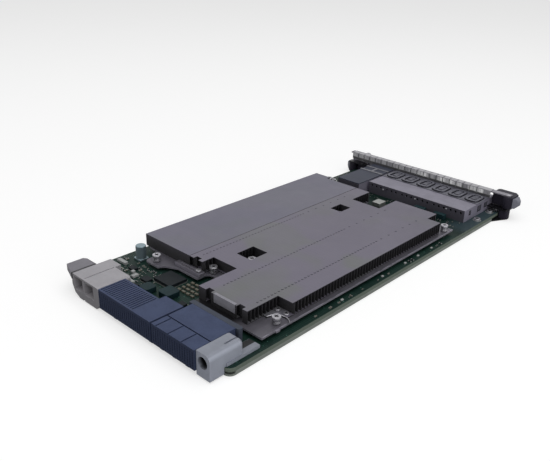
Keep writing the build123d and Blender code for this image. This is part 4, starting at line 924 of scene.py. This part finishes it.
class Maker:
    """Collects the mesh of one piece, in millimetres, and turns it into an object."""

    def __init__(self, name: str, finish: Finish, slot: str, body: str = "board") -> None:
        """Start an empty piece.

        Args:
            name: The piece's name.
            finish: What it is finished in.
            slot: The record's material slot that it belongs to; not used.
            body: The moving body that carries it.
        """
        self.name = name
        self.finish = finish
        self.slot = slot
        self.body = body
        self.mesh = bmesh.new()

    def block(self, low: Point, high: Point, turn: float = 0.0) -> None:
        """Add a block.

        Args:
            low: Its lowest corner.
            high: Its highest corner.
            turn: How far it is turned about its own upright axis, in degrees.
        """
        middle = (Vector(low) + Vector(high)) / 2
        size = Vector(high) - Vector(low)
        place = Matrix.Translation(middle) @ Matrix.Rotation(math.radians(turn), 4, "Z")
        bmesh.ops.create_cube(self.mesh, size=1.0, matrix=place @ Matrix.Diagonal((*size, 1.0)))

    def lathe(self, centre: Point, profile: Sequence[Spot], sides: int = 24, axis: Axis = Axis.Z) -> None:
        """Add a turned form.

        Args:
            centre: The point that the profile's heights start from.
            profile: Pairs of radius and height along the axis, from one end to the other.
            sides: How many flat sides it has.
            axis: The axis that it turns about.
        """
        rings = []
        for radius, height in profile:
            ring = []
            for n in range(sides):
                angle = FULL_TURN * n / sides
                spot = [radius * math.cos(angle), radius * math.sin(angle)]
                spot.insert(axis.value, height)
                ring.append(self.mesh.verts.new(Vector(centre) + Vector(spot)))
            rings.append(ring)
        self.bridge(rings)

    def wire(self, path: Sequence[Point], radius: float, sides: int = 8) -> None:
        """Add a round wire.

        Args:
            path: The points that its middle goes through.
            radius: Half of its thickness.
            sides: How many flat sides it has.
        """
        points = [Vector(point) for point in path]
        rings = []
        side = Vector((0, 0, 1))
        for n, point in enumerate(points):
            ahead = points[min(n + 1, len(points) - 1)] - points[max(n - 1, 0)]
            ahead.normalize()
            side = (side - ahead * side.dot(ahead)).normalized()
            other = ahead.cross(side)
            ring = []
            for step in range(sides):
                angle = FULL_TURN * step / sides
                offset = side * math.cos(angle) + other * math.sin(angle)
                ring.append(self.mesh.verts.new(point + offset * radius))
            rings.append(ring)
        self.bridge(rings)

    def bridge(self, rings: Sequence[Sequence[bmesh.types.BMVert]]) -> None:
        """Close a row of rings into a solid, with a cap at each end.

        Args:
            rings: Rings of equally many points, in order.
        """
        faces = [self.mesh.faces.new(rings[0]), self.mesh.faces.new(rings[-1])]
        for low_ring, high_ring in zip(rings, rings[1:]):
            for n, corner in enumerate(low_ring):
                after = (n + 1) % len(low_ring)
                quad = [corner, low_ring[after], high_ring[after], high_ring[n]]
                faces.append(self.mesh.faces.new(quad))
        bmesh.ops.recalc_face_normals(self.mesh, faces=faces)

    def build(self, bevel: float = 0.0, replaces: Iterable[str] = ()) -> bpy.types.Object:
        """Make the object, give it its finish and put it on its body.

        Args:
            bevel: Width in millimetres of the round along its sharp edges.
            replaces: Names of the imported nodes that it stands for.

        Returns:
            The new object.
        """
        bmesh.ops.scale(self.mesh, vec=(MM, MM, MM), verts=self.mesh.verts)
        data = bpy.data.meshes.new(self.name)
        self.mesh.to_mesh(data)
        self.mesh.free()
        data.polygons.foreach_set("use_smooth", [True] * len(data.polygons))
        data.set_sharp_from_angle(angle=SHARP_ANGLE)
        made = bpy.data.objects.new(self.name, data)
        bpy.context.scene.collection.objects.link(made)
        data.materials.append(self.finish.material())
        if bevel:
            add_bevel(made, bevel)
        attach(made, self.body)
        names = list(replaces)
        if names:
            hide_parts(*names)
        LOG.info("made %s with %d faces", self.name, len(data.polygons))
        return made


def add_bevel(piece: bpy.types.Object, width: float, segments: int = 2) -> None:
    """Round the sharp edges of a piece.

    Args:
        piece: The piece.
        width: Width of the round, in millimetres.
        segments: How many flats the round has.
    """
    rounding = piece.modifiers.new("round_edges", "BEVEL")
    rounding.width = width * MM
    rounding.segments = segments
    rounding.limit_method = "ANGLE"
    rounding.angle_limit = SHARP_ANGLE
    rounding.harden_normals = True


@dataclass(frozen=True)
class Extent:
    """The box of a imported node, in millimetres."""

    low: Vector
    high: Vector

    @classmethod
    def of(cls, node: str) -> "Extent":
        """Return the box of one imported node."""
        low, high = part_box(node)
        return cls(Vector(low) / MM, Vector(high) / MM)

    @property
    def middle(self) -> Vector:
        """Return the middle of the box."""
        return (self.low + self.high) / 2


@dataclass(frozen=True)
class NodeDress:
    """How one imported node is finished, with the width of its soft edges in millimetres."""

    node: str
    finish: Finish
    bevel: float = 0.0

    def apply(self) -> None:
        """Put the finish and the soft edges on the node."""
        piece = bpy.data.objects[self.node]
        piece.data.materials.clear()
        piece.data.materials.append(self.finish.material())
        if self.bevel:
            weld = piece.modifiers.new("join_corners", "WELD")
            weld.merge_threshold = WELD_DISTANCE
            merge = piece.modifiers.new("merge_flats", "DECIMATE")
            merge.decimate_type = "DISSOLVE"
            merge.angle_limit = FLAT_ANGLE
            add_bevel(piece, self.bevel)
        LOG.info("dressed %s in %s", self.node, self.finish.name)


def node_dresses() -> list[NodeDress]:
    """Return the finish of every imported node.

    Returns:
        One entry for each node, with the width of its soft edges in millimetres.
    """
    kit = Finishes
    return [
        NodeDress("board_tray", kit.TRAY, 0.12),
        NodeDress("circuit_board", kit.BOARD, 0.08),
        NodeDress("front_panel", kit.PANEL, 0.15),
        NodeDress("contact_strip", kit.GASKET),
        NodeDress("light_pipes", kit.LIGHT, 0.1),
        NodeDress("ejector_lever_left", kit.LEVER, 0.3),
        NodeDress("ejector_lever_right", kit.LEVER, 0.3),
        NodeDress("ejector_cam_left", kit.CLAW, 0.25),
        NodeDress("ejector_cam_right", kit.CLAW, 0.25),
        NodeDress("ejector_pin_left", kit.STEEL, 0.1),
        NodeDress("ejector_pin_right", kit.STEEL, 0.1),
        NodeDress("captive_screw_left", kit.STEEL, 0.15),
        NodeDress("captive_screw_right", kit.STEEL, 0.15),
        NodeDress("lever_stop_block", kit.LEVER, 0.25),
        NodeDress("port_cage", kit.CAGE),
        NodeDress("cage_collar", kit.COLLAR, 0.08),
        NodeDress("port_connectors", kit.DARK, 0.12),
        NodeDress("wide_cage", kit.CAGE),
        NodeDress("wide_cage_plate", kit.ROOF, 0.12),
        NodeDress("wide_cage_clip", kit.CLIP, 0.08),
        NodeDress("wide_connector", kit.DARK, 0.12),
        NodeDress("main_sink_base", kit.BASE, 0.15),
        NodeDress("main_sink_fins", kit.SINK),
        NodeDress("blank_tab", kit.BLANK, 0.05),
        NodeDress("left_sink_base", kit.BASE, 0.15),
        NodeDress("left_sink_fins", kit.SINK),
        NodeDress("sink_bar", kit.BASE, 0.2),
        NodeDress("spring_screws", kit.STEEL, 0.2),
        NodeDress("screw_springs", kit.STEEL),
        NodeDress("board_screws", kit.STEEL, 0.2),
        NodeDress("small_screws", kit.STEEL, 0.15),
        NodeDress("processor_packages", kit.CHIP, 0.1),
        NodeDress("memory_chips", kit.CHIP, 0.08),
        NodeDress("interface_chip", kit.CHIP, 0.12),
        NodeDress("control_chips", kit.CHIP, 0.12),
        NodeDress("thermal_pads", kit.PAD),
        NodeDress("power_inductors", kit.FERRITE, 0.3),
        NodeDress("bulk_capacitor", kit.CAN, 0.3),
        NodeDress("chip_capacitors", kit.TAN, 0.12),
        NodeDress("white_parts", kit.WHITE, 0.15),
        NodeDress("edge_chips", kit.WHITE, 0.12),
        NodeDress("clock_module", kit.TIN, 0.15),
        NodeDress("filter_modules", kit.FERRITE, 0.12),
        NodeDress("connector_rail", kit.RAIL, 0.15),
        NodeDress("wafer_connector", kit.SIGNAL, 0.1),
        NodeDress("module_connector", kit.SIGNAL, 0.12),
        NodeDress("power_connector", kit.POWER, 0.2),
        NodeDress("power_contacts", kit.BRASS, 0.06),
        NodeDress("end_block", kit.END, 0.2),
        NodeDress("guide_block", kit.CAST),
    ]


@dataclass
class HeatSinkDress:
    """The interlocking tongues on the main sink's folded top, with dark slot marks of painted shade beside
    them, and the lip around its corner screw in bright steel as a painted highlight.
    """

    fin_pitch: float = 2.8
    tongue_length: float = 1.3
    tongue_rise: float = 0.14
    tongue_bevel: float = 0.04
    tongue_width: float = 0.3
    tongue_near_gap: float = 0.15
    tongue_far_gap: float = 0.3
    # Where each row runs along X, and half of its tongues' width
    rows: tuple[Span, ...] = ((16.0, 0.3), (-20.1, 0.4), (-46.2, 0.5))
    short_row_y: float = 88.0
    near_pitches: int = 3
    far_pitches: int = 6
    fade_y: float = -8.0
    fade_step: int = 3
    lip_wire: float = 0.28
    lip_radius: float = 7.1
    lip_centre: Point = (-58.8, 100.8, 8.95)
    lip_turns: range = range(220, 361, 7)
    # Low X, high X, low Y and high Y of the sink's two square holes
    holes: tuple[tuple[float, float, float, float], ...] = (
        (-10.5, 4.5, 54.0, 71.5), (-1.5, 10.5, -41.5, -27.0),
    )

    def build(self) -> None:
        """Make the slot shadows, the tongues and the lip highlight."""
        slot_shadows = Maker("fin_slots", Finishes.FOLD, "sink_aluminium")
        tongues = Maker("fin_tongues", Finishes.SINK, "sink_aluminium")
        sink = Extent.of("main_sink_fins")
        for place, half in self.rows:
            self.add_row(slot_shadows, tongues, sink, place, half)
        slot_shadows.build()
        tongues.build(bevel=self.tongue_bevel)
        # The lip is a bright steel wire, a painted highlight on the flange's edge around the corner screw.
        lip = Maker("flange_lip", Finishes.STEEL, "sink_aluminium")
        x, y, z = self.lip_centre
        turns = [math.radians(angle) for angle in self.lip_turns]
        radius = self.lip_radius
        path = [(x + radius * math.cos(turn), y + radius * math.sin(turn), z) for turn in turns]
        lip.wire(path, self.lip_wire)
        lip.build()

    def add_row(self, slot_shadows: Maker, tongues: Maker, sink: Extent, place: float, half: float) -> None:
        """Add one row of tongues.

        Args:
            slot_shadows: Takes the dark slot marks of painted shade.
            tongues: Takes the raised tongues.
            sink: The box of the sink's fins.
            place: Where the row runs, across the sink.
            half: Half of each tongue's width.
        """
        top = sink.high.z
        end_y = self.short_row_y if place > 0 else sink.high.y
        near = min(sink.high.y - self.near_pitches * self.fin_pitch, end_y)
        level = near - self.fin_pitch
        count = 0
        while level > sink.low.y + self.far_pitches * self.fin_pitch:
            count += 1
            shown = level > self.fade_y or count % self.fade_step == 0
            if shown and not self.in_hole(place, level):
                end = level + self.tongue_length
                # Dark slot mark of painted shade beside each tongue.
                slot_shadows.block((place - half, level, top - SUNK), (place + half, end, top + PROUD))
                low = (place - half * self.tongue_width, level + self.tongue_near_gap, top - SUNK)
                tongues.block(low, (place + half, end - self.tongue_far_gap, top + self.tongue_rise))
            level -= self.fin_pitch

    def in_hole(self, place: float, level: float) -> bool:
        """Return whether a point of the sink's top is over one of its two square holes."""
        return any(low < place < high and near < level < far for low, high, near, far in self.holes)


@dataclass
class CageDress:
    """Dark outlines of painted shade around the sprung tabs, windows of painted shade, and bright steel
    bumps as painted glints on the port cage.
    """

    bay_count: int = 6
    bay_pitch: float = 14.2
    left_x: float = 26.25
    tab_mid_y: float = -128.45
    half_width: float = 5.6
    half_length: float = 7.9
    corner: float = 4.2
    collar_top: float = 14.3
    gap_wire: float = 0.32
    gap_sides: int = 6
    inner_inset: float = 2.3
    inner_cut: float = 2.2
    turn_step: int = 15
    # The node that each window is in, with its low Y, high Y, low Z and high Z
    windows: tuple[tuple[str, float, float, float, float], ...] = (
        ("port_cage", -110.6, -107.6, 8.4, 12.2), ("cage_collar", -126.4, -120.6, 7.6, 12.4),
        ("cage_collar", -136.4, -131.4, 8.0, 12.2),
    )
    window_rim: float = 0.7
    window_rise: float = 0.03
    pane_rise: float = 0.08
    dimple_spots: tuple[Spot, ...] = ((12.6, 10.6), (-17.0, 11.2), (-44.0, 11.2))
    dimple_radius: float = 0.75
    # Shares of the dimple's radius, and their heights
    dimple_steps: tuple[Span, ...] = ((1.0, 0.0), (0.7, 0.2), (0.2, 0.3))
    dimple_sides: int = 12

    def build(self) -> None:
        """Make the tab outlines, the windows and the bright bumps."""
        self.add_gaps()
        self.add_windows()
        self.add_dimples()

    def add_gaps(self) -> None:
        """Make a dark outline of painted shade around each sprung tab, and a smaller one inside it."""
        gap_shadows = Maker("tab_gaps", Finishes.SHADOW, "cage_steel")
        for n in range(self.bay_count):
            middle = self.left_x - (n + 0.5) * self.bay_pitch
            for inset, corner in ((0.0, self.corner), (self.inner_inset, self.corner - self.inner_cut)):
                path = self.rounded(middle, self.half_width - inset, self.half_length - inset, corner)
                gap_shadows.wire(path, self.gap_wire, self.gap_sides)
        gap_shadows.build()

    def add_windows(self) -> None:
        """Make the windows in the cage's side wall: a dark plate of painted shade in each, with a lighter
        tab inside it.
        """
        shadows = Maker("cage_windows", Finishes.SHADOW, "cage_steel")
        panes = Maker("cage_window_tabs", Finishes.COLLAR, "cage_steel")
        for node, near, far, low, high in self.windows:
            wall = Extent.of(node).low.x
            rim = self.window_rim
            shadows.block((wall - self.window_rise, near, low), (wall + SUNK, far, high))
            panes.block((wall - self.pane_rise, near + rim, low + rim), (wall + SUNK, far - rim, high))
        shadows.build()
        panes.build()

    def add_dimples(self) -> None:
        """Make the bumps in the cage's rear wall, in bright screw steel as painted glints."""
        dimple_glints = Maker("cage_dimples", Finishes.STEEL, "cage_steel")
        wall = Extent.of("port_cage").high.y
        profile = [(self.dimple_radius * share, height) for share, height in self.dimple_steps]
        for x, z in self.dimple_spots:
            dimple_glints.lathe((x, wall - PROUD, z), profile, self.dimple_sides, Axis.Y)
        dimple_glints.build()

    def rounded(self, middle: float, half_x: float, half_y: float, corner: float) -> list[Point]:
        """Return a closed path around a tab.

        Args:
            middle: The tab's middle along X.
            half_x: Half of the path's width.
            half_y: Half of the path's length.
            corner: The radius of its corners.

        Returns:
            The path's points, the first one again at the end.
        """
        path = []
        for turn in range(0, FULL_CIRCLE, self.turn_step):
            angle = math.radians(turn)
            across = math.copysign(half_x - corner, math.cos(angle) + TINY)
            along = math.copysign(half_y - corner, math.sin(angle) + TINY)
            x = middle + across + corner * math.cos(angle)
            path.append((x, self.tab_mid_y + along + corner * math.sin(angle), self.collar_top))
        return [*path, path[0]]


@dataclass
class SpringDress:
    """The coil springs of the spring screws, with the rims of their heads and dark crosses of painted shade
    that stand for their driver recesses.
    """

    wire: float = 0.29
    turns: float = 3.0
    steps: int = 20
    wire_sides: int = 6
    outer: float = 2.4
    low_z: float = 8.1
    high_z: float = 10.5
    head_top: float = 12.7
    recess_reach: float = 1.1
    head_radius: float = 2.5
    rim_drop: float = 0.5
    rim_wire: float = 0.12
    spots: tuple[Spot, ...] = (
        (-58.8, 100.8), (-59.9, -70.4), (41.7, 102.0), (56.6, -86.4), (-2.75, 63.0), (4.55, -34.35),
        (5.7, 87.2),
    )

    def build(self) -> None:
        """Make a spring, a dark cross of painted shade and a rim for each screw."""
        coils = Maker("spring_coils", Finishes.STEEL, "steel")
        recess_shade = Maker("spring_screw_recesses", Finishes.SHADOW, "steel")
        rings = Maker("spring_screw_rims", Finishes.STEEL, "steel")
        radius = self.outer - self.wire
        rise = self.high_z - self.low_z - 2 * self.wire
        count = int(self.turns * self.steps)
        for x, y in self.spots:
            path = []
            for n in range(count + 1):
                angle = FULL_TURN * n / self.steps
                level = self.low_z + self.wire + rise * n / count
                path.append((x + radius * math.cos(angle), y + radius * math.sin(angle), level))
            coils.wire(path, self.wire, self.wire_sides)
            recess_shadow_cross(recess_shade, (x, y, self.head_top), self.recess_reach)
            head, rim = self.head_radius, self.rim_wire
            profile = ((head, 0), (head + rim, rim), (head, 2 * rim))
            rings.lathe((x, y, self.head_top - self.rim_drop), profile, ROUND_SIDES)
        coils.build(replaces=["screw_springs"])
        recess_shade.build()
        rings.build()


def recess_shadow_cross(maker: Maker, top: Point, reach: float) -> None:
    """Add a dark cross of painted shade, standing for the driver's socket, to a screw head's top.

    Args:
        maker: Takes the cross.
        top: The middle of the head's top.
        reach: How far each arm goes from the middle.
    """
    x, y, z = top
    half = reach * RECESS_WIDTH
    for across, along in ((reach, half), (half, reach)):
        low = (x - across, y - along, z - SUNK)
        maker.block(low, (x + across, y + along, z + PROUD), RECESS_TURN)


@dataclass
class ScrewDress:
    """Driver recesses of the board screws and of the small screws, drawn as dark crosses of painted shade.
    """

    board_spots: tuple[Spot, ...] = (
        (-63.6, -113.0), (62.6, -100.0), (61.5, 122.0), (-9.5, 127.0), (-8.0, -91.5), (62.8, 2.1),
        (-63.0, -134.25), (60.0, -134.25),
    )
    board_head_top: float = 6.2
    board_reach: float = 1.1
    small_spots: tuple[Point, ...] = ((10.2, 95.1, 11.4), (-51.3, 91.6, 10.1), (-57.5, 91.6, 10.1))
    small_reach: float = 0.8
    land_radius: float = 3.1
    land_height: float = 0.05

    def build(self) -> None:
        """Make a dark cross of painted shade for every screw head, and the tinned land under each board
        screw.
        """
        recess_shade = Maker("screw_recesses", Finishes.SHADOW, "steel")
        lands = Maker("screw_lands", Finishes.TIN, "contact_metal")
        board_top = Extent.of("circuit_board").high.z
        for x, y in self.board_spots:
            recess_shadow_cross(recess_shade, (x, y, self.board_head_top), self.board_reach)
            profile = ((self.land_radius, 0.0), (self.land_radius, self.land_height))
            lands.lathe((x, y, board_top - PROUD), profile, ROUND_SIDES)
        for spot in self.small_spots:
            recess_shadow_cross(recess_shade, spot, self.small_reach)
        recess_shade.build()
        lands.build()


@dataclass
class SmallParts:
    """Small two-ended chip parts on the open areas of the board."""

    board_z: float = 4.8
    # Two corners of each area, and how many parts are tried in it
    areas: tuple[tuple[Spot, Spot, int], ...] = (
        ((9.5, 104.0), (52.0, 120.5), 60),
        ((-22.0, 117.5), (26.0, 141.5), 110),
        ((-48.0, 94.0), (-20.0, 117.0), 10),
        ((-52.0, 117.5), (-22.0, 122.5), 40),
        ((-67.0, -60.0), (-63.9, 90.0), 34),
        ((50.0, -99.0), (67.0, -84.0), 34),
        ((-60.0, -99.0), (48.0, -77.5), 120),
        ((52.0, -126.0), (67.0, -103.0), 40),
        ((27.0, 103.0), (66.0, 129.0), 130),
    )
    seed: int = 4
    sizes: tuple[float, ...] = (1.0, 1.0, 1.6, 2.0)
    grid: Spot = (1.2, 1.6)
    flip_share: float = 0.35
    clearance: float = 0.25
    margin: float = 0.5
    chip_height: float = 1.5
    end_start: float = 0.6
    end_reach: float = 0.12
    end_rim: float = 0.03
    clear_of: tuple[str, ...] = (
        "interface_chip", "power_inductors", "bulk_capacitor", "chip_capacitors", "white_parts",
        "control_chips", "clock_module", "filter_modules", "edge_chips", "board_screws", "guide_block",
        "connector_rail", "wafer_connector", "module_connector", "power_connector", "end_block", "port_cage",
        "wide_cage", "spring_screws", "main_sink_base", "left_sink_base",
    )

    def build(self) -> None:
        """Scatter rows of chip parts over the open areas, clear of the larger parts."""
        random.seed(self.seed)
        bodies = Maker("chip_bodies", Finishes.TAN, "chip_tan")
        darks = Maker("chip_resistors", Finishes.CHIP, "chip_black")
        ends = Maker("chip_ends", Finishes.TIN, "contact_metal")
        taken = [self.floor_box(solid) for solid in self.keep_clear()]
        for low, high, count in self.areas:
            for _ in range(count):
                size = random.choice(self.sizes)
                x, y = (
                    round(random.uniform(low[n], high[n]) / step) * step for n, step in enumerate(self.grid)
                )
                flip = random.random() < self.flip_share
                half = (size / 2, size / 4) if flip else (size / 4, size / 2)
                gap = self.clearance
                spot = (x - half[0] - gap, y - half[1] - gap, x + half[0] + gap, y + half[1] + gap)
                inside = low[0] < x < high[0] and low[1] < y < high[1]
                if not inside or any(self.meets(spot, box) for box in taken):
                    continue
                taken.append(spot)
                self.chip(random.choice((bodies, darks)), ends, (x, y), half, flip)
        for maker in (bodies, darks, ends):
            maker.build()

    def chip(self, body: Maker, ends: Maker, spot: Spot, half: Spot, flip: bool) -> None:
        """Add one two-ended chip part.

        Args:
            body: Takes its body.
            ends: Takes its tinned ends.
            spot: Its middle on the board.
            half: Half of its size along X and Y.
            flip: Whether its ends face along X instead of Y.
        """
        x, y = spot
        half_x, half_y = half
        rim = self.end_rim
        top = self.board_z + min(half) * self.chip_height
        body.block((x - half_x, y - half_y, self.board_z), (x + half_x, y + half_y, top))
        for side in (-1, 1):
            middle, reach = (x, half_x) if flip else (y, half_y)
            start, end = middle + side * reach * self.end_start, middle + side * (reach + self.end_reach)
            inner, outer = sorted((start, end))
            if flip:
                low, high = (inner, y - half_y - rim), (outer, y + half_y + rim)
            else:
                low, high = (x - half_x - rim, inner), (x + half_x + rim, outer)
            ends.block((*low, self.board_z), (*high, top + rim))

    @staticmethod
    def meets(one: tuple[float, ...], other: tuple[float, ...]) -> bool:
        """Return whether two flat boxes overlap."""
        return one[0] < other[2] and other[0] < one[2] and one[1] < other[3] and other[1] < one[3]

    def floor_box(self, extent: Extent) -> tuple[float, ...]:
        """Return the flat box under an extent, with a small margin."""
        low, high, edge = extent.low, extent.high, self.margin
        return low.x - edge, low.y - edge, high.x + edge, high.y + edge

    def keep_clear(self) -> list[Extent]:
        """Return the boxes of the separate bodies that stand on the board.

        Returns:
            One extent for each body.
        """
        found = []
        for name in self.clear_of:
            found.extend(islands(bpy.data.objects[name], self.board_z))
        return found


def islands(piece: bpy.types.Object, above: float) -> list[Extent]:
    """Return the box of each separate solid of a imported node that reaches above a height.

    Args:
        piece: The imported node.
        above: The height in millimetres.

    Returns:
        One extent for each solid.
    """
    mesh = bmesh.new()
    mesh.from_mesh(piece.data)
    bmesh.ops.remove_doubles(mesh, verts=mesh.verts, dist=WELD_DISTANCE)
    left = set(mesh.verts)
    found = []
    while left:
        stack = [left.pop()]
        low, high = Vector((FAR_AWAY,) * 3), Vector((-FAR_AWAY,) * 3)
        while stack:
            vert = stack.pop()
            for n in range(3):
                low[n] = min(low[n], vert.co[n] / MM)
                high[n] = max(high[n], vert.co[n] / MM)
            for edge in vert.link_edges:
                other = edge.other_vert(vert)
                if other in left:
                    left.remove(other)
                    stack.append(other)
        if high.z > above + SUNK:
            found.append(Extent(low, high))
    mesh.free()
    return found


@dataclass
class ChipDress:
    """Gull-wing leads beside the leaded chips."""

    lead_pitch: float = 0.65
    lead_half: float = 0.13
    lead_height: float = 0.14
    reach: float = 0.9
    board_z: float = 4.8
    large_size: float = 8.0
    near_margin: float = 0.5
    far_margin: float = 0.4

    def build(self) -> None:
        """Make the leads of the interface chip and of the control chips."""
        leads = Maker("chip_leads", Finishes.TIN, "contact_metal")
        for name in ("interface_chip", "control_chips"):
            for solid in islands(bpy.data.objects[name], self.board_z):
                self.add_leads(leads, solid, Axis.X)
                if solid.high.x - solid.low.x > self.large_size:
                    self.add_leads(leads, solid, Axis.Y)
        leads.build()

    def add_leads(self, leads: Maker, solid: Extent, axis: Axis) -> None:
        """Add leads along the two sides of a chip that run along an axis.

        Args:
            leads: Takes the leads.
            solid: The chip's box.
            axis: Axis.X or Axis.Y.
        """
        along, across = axis.value, 1 - axis.value
        base = solid.low.z
        place = solid.low[along] + self.near_margin
        while place < solid.high[along] - self.far_margin:
            for side, edge in ((-1, solid.low[across]), (1, solid.high[across])):
                inner, outer = sorted((edge - side * SUNK, edge + side * self.reach))
                low, high = [inner, base], [outer, base + self.lead_height]
                low.insert(along, place - self.lead_half)
                high.insert(along, place + self.lead_half)
                leads.block(low, high)
            place += self.lead_pitch


@dataclass
class MatingFaceDress:
    """Dark squares of painted shade for the contact holes in the mating faces of the signal connectors."""

    opening: float = 0.26
    pitch_x: float = 1.9
    pitch_z: float = 1.45
    first_x: float = 1.2
    first_z: float = 2.6
    margin: float = 0.9

    def build(self) -> None:
        """Make the dark squares of both signal connectors."""
        opening_shadows = Maker("contact_openings", Finishes.OPENING, "signal_blue")
        for name in ("wafer_connector", "module_connector"):
            extent = Extent.of(name)
            x = extent.low.x + self.first_x
            while x < extent.high.x - self.margin:
                z = extent.low.z + self.first_z
                while z < extent.high.z - self.margin:
                    self.add_opening(opening_shadows, x, z, extent.high.y)
                    z += self.pitch_z
                x += self.pitch_x
        opening_shadows.build()

    def add_opening(self, maker: Maker, x: float, z: float, front: float) -> None:
        """Add one dark square of painted shade for a contact hole, flush with the face."""
        half = self.opening
        maker.block((x - half, front - SUNK, z - half), (x + half, front, z + half))


@dataclass
class Stage:
    """The pale floor, the white surround and the soft lamps."""

    floor_size: float = 6.0
    floor_tone: float = 0.5
    floor_glow: float = 0.6
    floor_drop: float = 0.2
    floor_rough: float = 0.9
    world_fill: float = 0.3
    # Name, place in metres, side in metres and power in watts
    lamps: tuple[tuple[str, Point, float, float], ...] = (
        ("overhead", (-0.2, 0.05, 1.2), 1.4, 8.5),
        ("right_fill", (-1.2, 0.2, 0.4), 0.9, 3.4),
        ("front_fill", (0.0, 1.2, 0.35), 0.9, 2.6),
    )

    def build(self) -> None:
        """Make the floor, the world and the lamps."""
        self.floor()
        self.world()
        for lamp in self.lamps:
            self.lamp(*lamp)

    def floor(self) -> None:
        """Make the floor under the part."""
        mesh = bmesh.new()
        bmesh.ops.create_grid(mesh, x_segments=1, y_segments=1, size=self.floor_size / 2)
        data = bpy.data.meshes.new("floor")
        mesh.to_mesh(data)
        mesh.free()
        floor = bpy.data.objects.new("floor", data)
        floor.location.z = -self.floor_drop * MM
        bpy.context.scene.collection.objects.link(floor)
        material = bpy.data.materials.new("pale_floor")
        graph = Graph(material)
        graph.set(Base_Color=(self.floor_tone,) * 3, Roughness=self.floor_rough, Specular_IOR_Level=0.0)
        path = graph.node("ShaderNodeLightPath")
        seen = graph.mix(path.outputs["Is Camera Ray"], (0.0,) * 3, (self.floor_glow,) * 3)
        graph.set(Emission_Color=seen, Emission_Strength=1.0)
        data.materials.append(material)

    def world(self) -> None:
        """Make the surround: plain white to the camera and to reflections, softer as light."""
        world = bpy.data.worlds.new("surround")
        bpy.context.scene.world = world
        world.use_nodes = True
        tree = world.node_tree
        tree.nodes.clear()
        output = tree.nodes.new("ShaderNodeOutputWorld")
        path = tree.nodes.new("ShaderNodeLightPath")
        seen = tree.nodes.new("ShaderNodeBackground")
        light = tree.nodes.new("ShaderNodeBackground")
        light.inputs["Strength"].default_value = self.world_fill
        for background in (seen, light):
            background.inputs["Color"].default_value = (1, 1, 1, 1)
        total = path.outputs["Is Camera Ray"]
        for name in ("Is Glossy Ray", "Is Transmission Ray"):
            add = tree.nodes.new("ShaderNodeMath")
            add.operation = "MAXIMUM"
            tree.links.new(total, add.inputs[0])
            tree.links.new(path.outputs[name], add.inputs[1])
            total = add.outputs[0]
        blend = tree.nodes.new("ShaderNodeMixShader")
        tree.links.new(total, blend.inputs[0])
        tree.links.new(light.outputs[0], blend.inputs[1])
        tree.links.new(seen.outputs[0], blend.inputs[2])
        tree.links.new(blend.outputs[0], output.inputs["Surface"])

    def lamp(self, name: str, place: Point, size: float, power: float) -> None:
        """Add a square soft lamp, aimed at the part.

        Args:
            name: The lamp's name.
            place: Where it hangs, in metres.
            size: The length of its side, in metres.
            power: Its power in watts.
        """
        data = bpy.data.lights.new(name, "AREA")
        data.size = size
        data.energy = power
        lamp = bpy.data.objects.new(name, data)
        lamp.location = place
        lamp.rotation_euler = (-Vector(place)).to_track_quat("-Z", "Y").to_euler()
        bpy.context.scene.collection.objects.link(lamp)


@dataclass(frozen=True)
class CameraRig:
    """The photograph's viewpoint, as a heading, a downward tilt and a roll."""

    place: Point = (-0.25585, 0.31896, 0.19665)
    heading: float = 0.741764
    tilt: float = 0.429545
    roll: float = 0.029497
    lens: float = 42.825
    sensor: float = 36.0
    clip: float = 0.01

    def build(self) -> None:
        """Make the camera and use it for the scene."""
        level = Vector((math.sin(self.heading), -math.cos(self.heading), 0.0))
        up = Vector((0.0, 0.0, 1.0))
        ahead = level * math.cos(self.tilt) - up * math.sin(self.tilt)
        right = ahead.cross(up).normalized()
        above = right.cross(ahead)
        turned_right = right * math.cos(self.roll) + above * math.sin(self.roll)
        turned_up = above * math.cos(self.roll) - right * math.sin(self.roll)
        axes = Matrix((turned_right, turned_up, -ahead)).transposed()
        data = bpy.data.cameras.new("photo_view")
        data.lens = self.lens
        data.sensor_width = self.sensor
        data.sensor_fit = "HORIZONTAL"
        data.clip_start = self.clip
        camera = bpy.data.objects.new("photo_view", data)
        camera.matrix_world = Matrix.Translation(Vector(self.place)) @ axes.to_4x4()
        bpy.context.scene.collection.objects.link(camera)
        bpy.context.scene.camera = camera


def main() -> None:
    """Load the frame, dress every node, add the detail pieces, and set up the stage and the camera."""
    logging.basicConfig(level=logging.INFO, format="%(message)s")
    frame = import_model()
    LOG.info("loaded %d nodes", len(frame["nodes"]))
    for dress in node_dresses():
        dress.apply()
    for kind in (HeatSinkDress, CageDress, SpringDress, ScrewDress, ChipDress, SmallParts, MatingFaceDress):
        kind().build()
    Stage().build()
    CameraRig().build()
    bpy.context.scene.view_settings.view_transform = "Standard"


if __name__ == "__main__":
    main()
